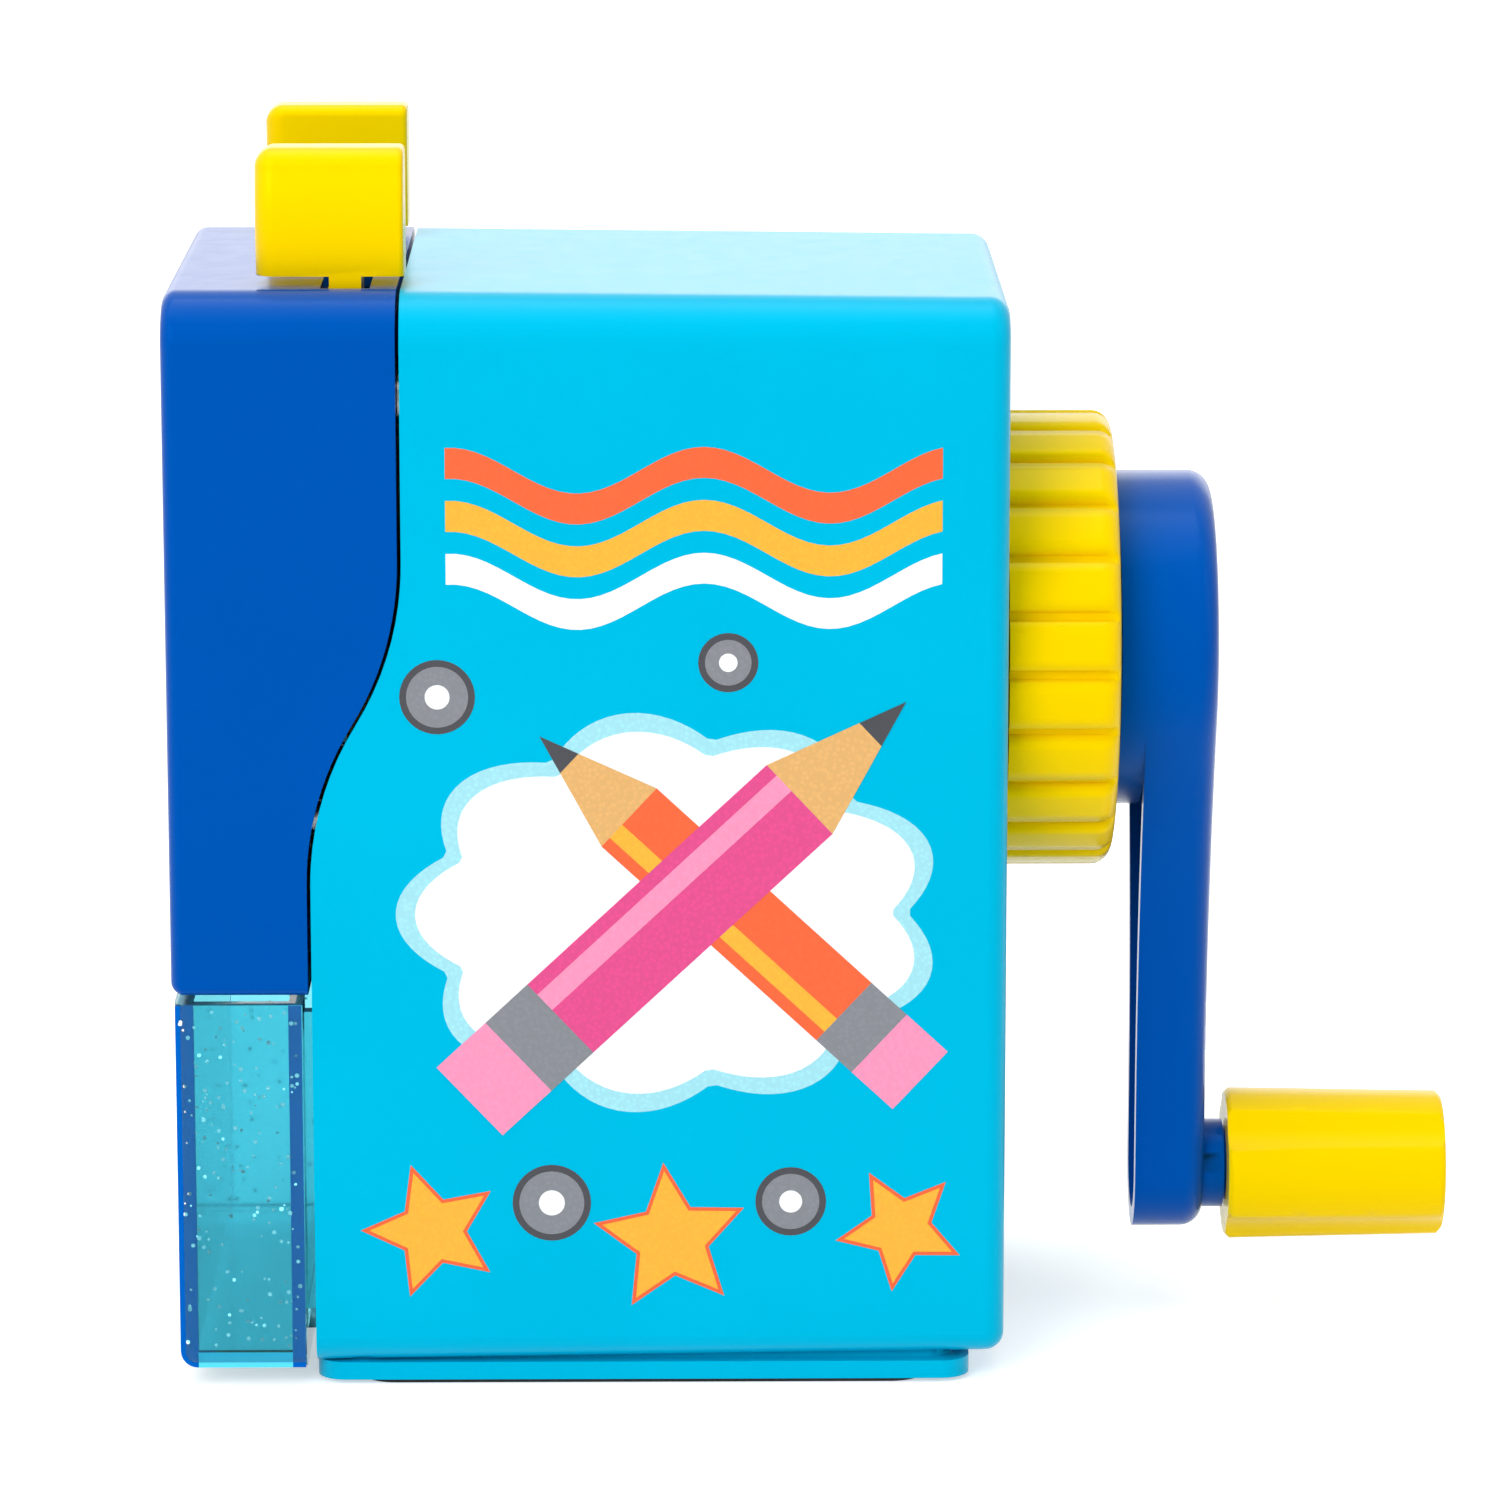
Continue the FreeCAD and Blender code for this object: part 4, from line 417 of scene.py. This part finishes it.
# %% [markdown]
# ## Printed decoration
#
# The near side of the body carries a colourful print: two crossed pencils on a pale cloud, stars, rings and
# wavy ribbons. Ink is a film a few hundredths of a millimetre thick, laid down in fine dots. The dots are
# drawn half a millimetre apart, coarser than real ones, so that they show. Each motif is drawn flat, in
# millimetres along and up the wall, then laid on the slightly sloping wall and thickened, and a motif that
# overlaps another is laid a little higher.

# %% Ink
DOT_MM = 0.5
DOT_REACH = 0.6
DOT_LEVEL = 1.06
GAP_LEVEL = 0.92
INK_ROUGHNESS = 0.32
INKS = {
    "white": "#F4F8FA",
    "pale_cyan": "#9BDCE8",
    "orange": "#EE5A1C",
    "gold": "#F5AE1E",
    "magenta": "#DB3A83",
    "pink": "#F08DB4",
    "tan": "#DDAA62",
    "grey": "#7C7F86",
    "dark": "#33353C",
}


def printed_ink(name, hex_colour):
    """Ink that is lighter in its dots and darker between them."""
    material, tree, output = new_material(name)
    place = add_node(tree, "ShaderNodeTexCoord")
    dots = add_node(tree, "ShaderNodeTexVoronoi", values={"Scale": 1 / (DOT_MM * MM)},
                    links={"Vector": place.outputs["Object"]})
    level = add_node(tree, "ShaderNodeMapRange",
                     values={"From Max": DOT_REACH, "To Min": DOT_LEVEL, "To Max": GAP_LEVEL},
                     links={"Value": dots.outputs["Distance"]})
    tint = add_node(tree, "ShaderNodeHueSaturation", values={"Color": linear(hex_colour)},
                    links={"Value": level.outputs["Result"]})
    surface = add_node(tree, "ShaderNodeBsdfPrincipled", values={"Roughness": INK_ROUGHNESS},
                       links={"Base Color": tint.outputs["Color"]})
    tree.links.new(surface.outputs["BSDF"], output.inputs["Surface"])
    return material


print("inks:", len(INKS))

# %% [markdown]
# ### Laying a motif on the wall
#
# A printing pad presses each colour on the finished body. Here all shapes of one colour are gathered in one
# mesh. A shape starts flat, is moved to the wall, whose half width shrinks a little towards the back, and is
# pushed out by the thickness of its film.

# %% Lay ink on the wall
WALL_FRONT_X = -34.3
WALL_HALF = 30.0
WALL_DRAFT = math.tan(math.radians(0.65))
FILM = 0.015
drawings = {ink: bmesh.new() for ink in INKS}


def lay(ink, verts, layer):
    """Puts flat verts, drawn as (along, up, 0) in millimetres, on the wall and thickens them."""
    work = drawings[ink]
    faces = {face for vert in verts for face in vert.link_faces}
    for vert in verts:
        along, up = vert.co.x, vert.co.y
        depth = WALL_HALF - (along - WALL_FRONT_X) * WALL_DRAFT
        vert.co = Vector((along, -depth, up)) * MM
    raised = bmesh.ops.extrude_face_region(work, geom=list(faces))["geom"]
    tops = of_kind(raised, bmesh.types.BMVert)
    bmesh.ops.translate(work, verts=tops, vec=(0, -FILM * layer * MM, 0))


print("the wall leans in, in mm over 100 mm:", round(100 * WALL_DRAFT, 2))

# %% [markdown]
# ### Cloud, stars, rings and ribbons
#
# Each of these motifs is a circle or a grid whose points are moved: pushed out in lobes for the cloud, every
# second one pulled in for a star, and raised along a sine for a ribbon. A formula keeps their outlines smooth
# at any size.

# %% Round and wavy motifs
DISC_SEGMENTS = 40
LOBES = 9
LOBE_SEGMENTS = 18
LOBE_DEPTH = 0.14
STAR_POINTS = 5
STAR_INNER = 0.48
RIBBON_SEGMENTS = 48


def disc(ink, along, up, radius, layer):
    shape = bmesh.ops.create_circle(drawings[ink], cap_ends=True, segments=DISC_SEGMENTS, radius=radius,
                                    matrix=Matrix.Translation((along, up, 0)))
    lay(ink, shape["verts"], layer)


def cloud(ink, along, up, half_length, half_height, layer):
    """A scalloped oval."""
    shape = bmesh.ops.create_circle(drawings[ink], cap_ends=True, segments=LOBES * LOBE_SEGMENTS,
                                    radius=1.0)["verts"]
    for vert in shape:
        lobe = abs(math.sin(math.atan2(vert.co.y, vert.co.x) * LOBES / 2))
        puff = 1 - LOBE_DEPTH + LOBE_DEPTH * lobe
        vert.co = Vector((along + vert.co.x * half_length * puff, up + vert.co.y * half_height * puff, 0))
    lay(ink, shape, layer)


def star(ink, along, up, radius, layer, lean):
    turned = Matrix.Translation((along, up, 0)) @ Matrix.Rotation(lean, 4, "Z")
    shape = bmesh.ops.create_circle(drawings[ink], cap_ends=True, segments=STAR_POINTS * 2,
                                    radius=radius)["verts"]
    for vert in shape[1::2]:
        vert.co *= STAR_INNER
    bmesh.ops.transform(drawings[ink], matrix=turned, verts=shape)
    lay(ink, shape, layer)


def ribbon(ink, start, end, up, width, wave, swell, layer):
    """A wavy band along the wall."""
    shape = bmesh.ops.create_grid(drawings[ink], x_segments=RIBBON_SEGMENTS, y_segments=1, size=0.5)["verts"]
    for vert in shape:
        along = start + (end - start) * (vert.co.x + 0.5)
        rise = swell * math.sin(2 * math.pi * along / wave)
        vert.co = Vector((along, up + rise + vert.co.y * width, 0))
    lay(ink, shape, layer)


print("points of a cloud's outline:", LOBES * LOBE_SEGMENTS)

# %% [markdown]
# ### Pencils
#
# A drawn pencil is a row of flat patches: eraser, metal band, painted stem with a streak of shine, bare wood
# and lead. Its lengths are shares of its width, so a thick pencil and a thin one look alike.

# %% Pencil motif
ERASER_END = 0.7
BAND_END = 1.3
WOOD_LENGTH = 1.5
LEAD_LENGTH = 0.5
SHINE_LOW = 0.25
SHINE_HIGH = 0.7


def patch(ink, corners, layer, turned):
    work = drawings[ink]
    verts = [work.verts.new(turned @ Vector((x, y, 0))) for x, y in corners]
    work.faces.new(verts)
    lay(ink, verts, layer)


def bar(start, end, low, high):
    """The corners of an upright rectangle."""
    return [(start, low), (end, low), (end, high), (start, high)]


def pencil(along, up, lean, length, width, coat, shine, layer):
    """A pencil drawn from its blunt end to its point."""
    turned = Matrix.Translation((along, up, 0)) @ Matrix.Rotation(lean, 4, "Z")
    half = width / 2
    eraser_end = width * ERASER_END
    band_end = width * BAND_END
    wood_start = length - width * WOOD_LENGTH
    lead_start = length - width * LEAD_LENGTH
    lead_half = half / (width * WOOD_LENGTH) * (width * LEAD_LENGTH)
    patch("pink", bar(0, eraser_end, -half, half), layer, turned)
    patch("grey", bar(eraser_end, band_end, -half, half), layer, turned)
    patch(coat, bar(band_end, wood_start, -half, half), layer, turned)
    patch(shine, bar(band_end, wood_start, half * SHINE_LOW, half * SHINE_HIGH), layer + 1, turned)
    patch("tan", [(wood_start, -half), (lead_start, -lead_half), (lead_start, lead_half), (wood_start, half)],
          layer, turned)
    patch("dark", [(lead_start, -lead_half), (length, 0), (lead_start, lead_half)], layer, turned)


print("a lead's width in widths of its pencil:", round(LEAD_LENGTH / WOOD_LENGTH, 2))

# %% [markdown]
# ### Drawing the print
#
# The print is a list of motifs with their places in millimetres: the cloud and the pencils in the middle,
# ribbons above, stars and rings below, and two rings more in between. The number at the end of a motif is
# its layer, and a higher layer lies on top.

# %% Draw the print
CLOUD_PLACE = (3.0, 51.0)
cloud("pale_cyan", *CLOUD_PLACE, 28.5, 21.5, layer=1)
cloud("white", *CLOUD_PLACE, 26.5, 19.5, layer=2)
pencil(29.0, 33.0, math.radians(137), length=54.0, width=8.4, coat="orange", shine="gold", layer=3)
pencil(-18.0, 31.0, math.radians(43), length=62.0, width=10.0, coat="magenta", shine="pink", layer=5)
for up, ink in ((85.0, "white"), (90.5, "gold"), (96.0, "orange")):
    ribbon(ink, -20.0, 31.0, up, width=3.2, wave=26.0, swell=2.4, layer=1)
STARS = ((-22, 17, 6.6, 0.3), (3, 16, 7.4, 0.1), (27, 17, 6.0, 0.5))
STAR_RIM = 0.9
for along, up, radius, lean in STARS:
    star("orange", along, up, radius + STAR_RIM, 1, lean)
    star("gold", along, up, radius, 2, lean)
RINGS = ((-9.5, 20, 3.4), (15.5, 20, 3.0), (-21, 74, 3.2), (9, 77.5, 2.4))
RING_RIM = 0.7
RING_HOLE = 0.4
for along, up, radius in RINGS:
    disc("dark", along, up, radius + RING_RIM, 2)
    disc("grey", along, up, radius, 3)
    disc("white", along, up, radius * RING_HOLE, 4)

for ink, work in drawings.items():
    bmesh.ops.recalc_face_normals(work, faces=work.faces)
    show("print_" + ink, work, printed_ink("ink_" + ink, INKS[ink]), "base")
print("printed colours:", len(drawings))

# %% [markdown]
# ## Deep edges of the drawer
#
# Seen end-on, the drawer's front and rear walls are about 60 mm of dyed plastic, which looks a deep, even
# blue. That blue is light that has bounced about inside the wall, and tracing it would take very long. So a
# thin sheet painted in the deep blue lies just under each end of the two walls, as painted light, and the
# clear plastic over it gives the depth. The thin floor between them passes more light, so its ends get a
# paler painted sheet.

# %% Deep edges
# Painted light: the deep blue and the paler teal are painted on thin sheets, in place of light that bounces
# inside the clear walls.
PAINTED_EDGE_BLUE = moulded_plastic("painted_deep_blue_edge", "#0060C0", roughness=0.6)
PAINTED_FLOOR_TEAL = moulded_plastic("painted_teal_floor_edge", "#5CE0FF", roughness=0.6)
drawer_low, drawer_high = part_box("shavings_drawer")
BLOCK_LEN = 13.4 * MM
FRONT_WALL = 2.0 * MM
REAR_WALL = 1.5 * MM
CORNER_ROUND = 1.8 * MM
CORNER_STEPS = 6
FLOOR_THICK = 1.8 * MM
SHEET_DEPTH = 0.4 * MM
SHEET_THICK = 0.1 * MM
SHEET_MARGIN = 0.12 * MM
SHEET_MERGE = 0.001 * MM


def edge_sheet(work, start, end, top, rounding, across):
    """A thin upright sheet in a wall's end, rounded at its lower front corner where the wall is."""
    low = drawer_low[2] + SHEET_MARGIN
    outline = [(start, top), (end, top), (end, low)]
    for step in range(CORNER_STEPS + 1):
        turn = math.pi / 2 * step / CORNER_STEPS
        outline.append((start + rounding * (1 - math.sin(turn)), low + rounding * (1 - math.cos(turn))))
    verts = [work.verts.new((x, across, z)) for x, z in outline]
    bmesh.ops.remove_doubles(work, verts=verts, dist=SHEET_MERGE)
    face = work.faces.new([vert for vert in verts if vert.is_valid])
    raised = bmesh.ops.extrude_face_region(work, geom=[face])["geom"]
    tops = of_kind(raised, bmesh.types.BMVert)
    bmesh.ops.translate(work, verts=tops, vec=(0, math.copysign(SHEET_THICK, -across), 0))


deep = bmesh.new()
pale = bmesh.new()
wall_top = drawer_high[2] - SHEET_MARGIN
floor_top = drawer_low[2] + FLOOR_THICK
front_start = drawer_low[0] + SHEET_MARGIN
front_end = drawer_low[0] + FRONT_WALL
rear_start = drawer_low[0] + BLOCK_LEN - REAR_WALL
rear_end = drawer_low[0] + BLOCK_LEN - SHEET_MARGIN
for across in (drawer_low[1] + SHEET_DEPTH, drawer_high[1] - SHEET_DEPTH):
    edge_sheet(deep, front_start, front_end, wall_top, CORNER_ROUND, across)
    edge_sheet(deep, rear_start, rear_end, wall_top, 0.0, across)
    edge_sheet(pale, front_end, rear_start, floor_top, 0.0, across)
for name, sheets, colour in (("painted_drawer_edges", deep, PAINTED_EDGE_BLUE), ("painted_drawer_floor_edges", pale, PAINTED_FLOOR_TEAL)):
    bmesh.ops.recalc_face_normals(sheets, faces=sheets.faces)
    print(name, "faces:", len(show(name, sheets, colour, "drawer").data.polygons))

# %% [markdown]
# ## Glitter in the drawer
#
# Tiny flakes were stirred into the drawer's plastic before it was moulded, and the flow in the mould laid
# them nearly flat to its walls. Six-sided flakes of different sizes are put at places spread by a fixed
# random seed, each a little tilted and just under the skin of the outer walls. A flake is thin, so that it
# reads as a speck, but still a closed solid.

# %% Glitter
FLAKES = 340
FLAKE_SEED = 11
FLAKE_RADIUS_MM = (0.1, 0.26)
FLAKE_TILT = math.radians(20)
FLAKE_THICK = 0.02 * MM
FLAKE_DEPTH_MM = (0.14, 0.3)
CLEAR_OF_EDGE = 0.6 * MM
CLEAR_OF_CORNER = 2.2 * MM


def flake_place(chance):
    """A random place in the near, far or front wall of the drawer's block, with the wall's turn."""
    depth = chance.uniform(*FLAKE_DEPTH_MM) * MM
    x = chance.uniform(drawer_low[0] + CLEAR_OF_EDGE, drawer_low[0] + BLOCK_LEN - CLEAR_OF_EDGE)
    y = chance.uniform(drawer_low[1] + CLEAR_OF_CORNER, drawer_high[1] - CLEAR_OF_CORNER)
    z = chance.uniform(drawer_low[2] + CLEAR_OF_CORNER, drawer_high[2] - CLEAR_OF_EDGE)
    wall = chance.choice(("near", "near", "far", "front"))
    if wall == "front":
        return Matrix.Translation((drawer_low[0] + depth, y, z)) @ Matrix.Rotation(math.pi / 2, 4, "Y")
    across = drawer_low[1] + depth if wall == "near" else drawer_high[1] - depth
    return Matrix.Translation((x, across, z)) @ Matrix.Rotation(math.pi / 2, 4, "X")


chance = random.Random(FLAKE_SEED)
flakes = bmesh.new()
for _ in range(FLAKES):
    tilt = Matrix.Rotation(chance.uniform(-FLAKE_TILT, FLAKE_TILT), 4, "X")
    tilt = tilt @ Matrix.Rotation(chance.uniform(-FLAKE_TILT, FLAKE_TILT), 4, "Y")
    radius = chance.uniform(*FLAKE_RADIUS_MM) * MM
    bmesh.ops.create_cone(flakes, cap_ends=True, segments=6, radius1=radius, radius2=radius,
                          depth=FLAKE_THICK, matrix=flake_place(chance) @ tilt)
show("glitter", flakes, GLITTER, "drawer")
print("flakes:", FLAKES)

# %% [markdown]
# ## Floor
#
# The photograph was taken in a white studio. A pale floor runs under the sharpener and keeps its shadow. To
# look white, the floor glows a little, but only for rays that come from the camera or are sent on by a shiny
# or clear surface. The Light Path node tells these rays from those that light a matt surface, so the glow
# isn't a lamp for the object.

# %% Floor
FLOOR_GLOW = 0.5
FLOOR_HALF = 1.6
FLOOR_MOTTLE = 0.25


def seen_share(tree):
    """A socket that is 1 for rays that show the background, and 0 for rays that light the object."""
    path = add_node(tree, "ShaderNodeLightPath")
    bounced = add_node(tree, "ShaderNodeMath", {"operation": "MAXIMUM"},
                       links={0: path.outputs["Is Glossy Ray"], 1: path.outputs["Is Transmission Ray"]})
    seen = add_node(tree, "ShaderNodeMath", {"operation": "MAXIMUM"},
                    links={0: path.outputs["Is Camera Ray"], 1: bounced.outputs[0]})
    return seen.outputs[0]


def floor_material():
    """Matt pale paint that glows for the eye alone."""
    material, tree, output = new_material("studio_floor")
    place = add_node(tree, "ShaderNodeTexCoord")
    mottle = add_node(tree, "ShaderNodeTexNoise", values={"Scale": 1 / FLOOR_MOTTLE},
                      links={"Vector": place.outputs["Object"]})
    rough = add_node(tree, "ShaderNodeMapRange", values={"To Min": 0.85, "To Max": 0.95},
                     links={"Value": mottle.outputs["Fac"]})
    glow = add_node(tree, "ShaderNodeMapRange", values={"To Max": FLOOR_GLOW},
                    links={"Value": seen_share(tree)})
    paint = add_node(tree, "ShaderNodeBsdfPrincipled",
                     values={"Base Color": linear("#F2F2F2"), "Emission Color": (1, 1, 1, 1)},
                     links={"Roughness": rough.outputs["Result"],
                            "Emission Strength": glow.outputs["Result"]})
    tree.links.new(paint.outputs["BSDF"], output.inputs["Surface"])
    return material


work = bmesh.new()
bmesh.ops.create_grid(work, x_segments=1, y_segments=1, size=FLOOR_HALF)
floor_mesh = bpy.data.meshes.new("floor")
work.to_mesh(floor_mesh)
work.free()
floor_mesh.materials.append(floor_material())
floor = bpy.data.objects.new("floor", floor_mesh)
bpy.context.collection.objects.link(floor)
print("floor half width in m:", FLOOR_HALF)

# %% [markdown]
# ## World and lamps
#
# Large soft lamps stand above, in front to the left, to the right and behind, as softboxes do round a small
# product. The one in front is the strongest on the printed side. The world is white where it is seen,
# reflected or looked at through the clear drawer, and a softer grey as light.

# %% World and lamps
AMBIENT = 0.5
BACKDROP = 1.0
CENTRE = Vector((0.0, 0.0, 0.06))


def soft_lamp(name, place, size, power):
    """A rectangular lamp that faces the middle of the sharpener."""
    light = bpy.data.lights.new(name, "AREA")
    light.shape = "RECTANGLE"
    light.size, light.size_y = size
    light.energy = power
    lamp = bpy.data.objects.new(name, light)
    lamp.location = place
    lamp.rotation_euler = (CENTRE - Vector(place)).to_track_quat("-Z", "Y").to_euler()
    bpy.context.collection.objects.link(lamp)


LAMPS = (
    ("top_softbox", (-0.1, -0.1, 1.1), (0.9, 0.9), 6.0),
    ("near_softbox", (-0.55, -1.0, 0.65), (0.7, 0.7), 8.2),
    ("right_softbox", (0.95, -0.5, 0.5), (0.5, 0.8), 1.4),
    ("back_softbox", (0.0, 1.15, 0.4), (1.4, 0.6), 1.7),
)
for name, place, size, power in LAMPS:
    soft_lamp(name, place, size, power)

world = bpy.data.worlds.new("studio")
bpy.context.scene.world = world
world.use_nodes = True
tree = world.node_tree
tree.nodes.clear()
level = add_node(tree, "ShaderNodeMapRange", values={"To Min": AMBIENT, "To Max": BACKDROP},
                 links={"Value": seen_share(tree)})
sky = add_node(tree, "ShaderNodeBackground", values={"Color": (1, 1, 1, 1)},
               links={"Strength": level.outputs["Result"]})
add_node(tree, "ShaderNodeOutputWorld", links={"Surface": sky.outputs["Background"]})
bpy.context.scene.view_settings.view_transform = "Standard"
print("lamps:", len(LAMPS))

# %% [markdown]
# ## Camera
#
# The photograph was taken with a long lens, a little from above and almost square to the side. The camera's
# place, turn and lens were fitted to outline points of the photograph, so the picture lines up with it.

# %% Camera
EYE_MM = Vector((4.09, -725.93, 213.64))
YAW = math.radians(0.588)
PITCH = math.radians(-11.787)
LENS_MM = 165.35
SENSOR_MM = 36.0
camera_data = bpy.data.cameras.new("camera")
camera_data.sensor_width = SENSOR_MM
camera_data.lens = LENS_MM
camera = bpy.data.objects.new("camera", camera_data)
camera.location = EYE_MM * MM
aim = Vector((math.sin(YAW) * math.cos(PITCH), math.cos(YAW) * math.cos(PITCH), math.sin(PITCH)))
camera.rotation_euler = aim.to_track_quat("-Z", "Y").to_euler()
bpy.context.collection.objects.link(camera)
bpy.context.scene.camera = camera
print("lens in mm:", LENS_MM)
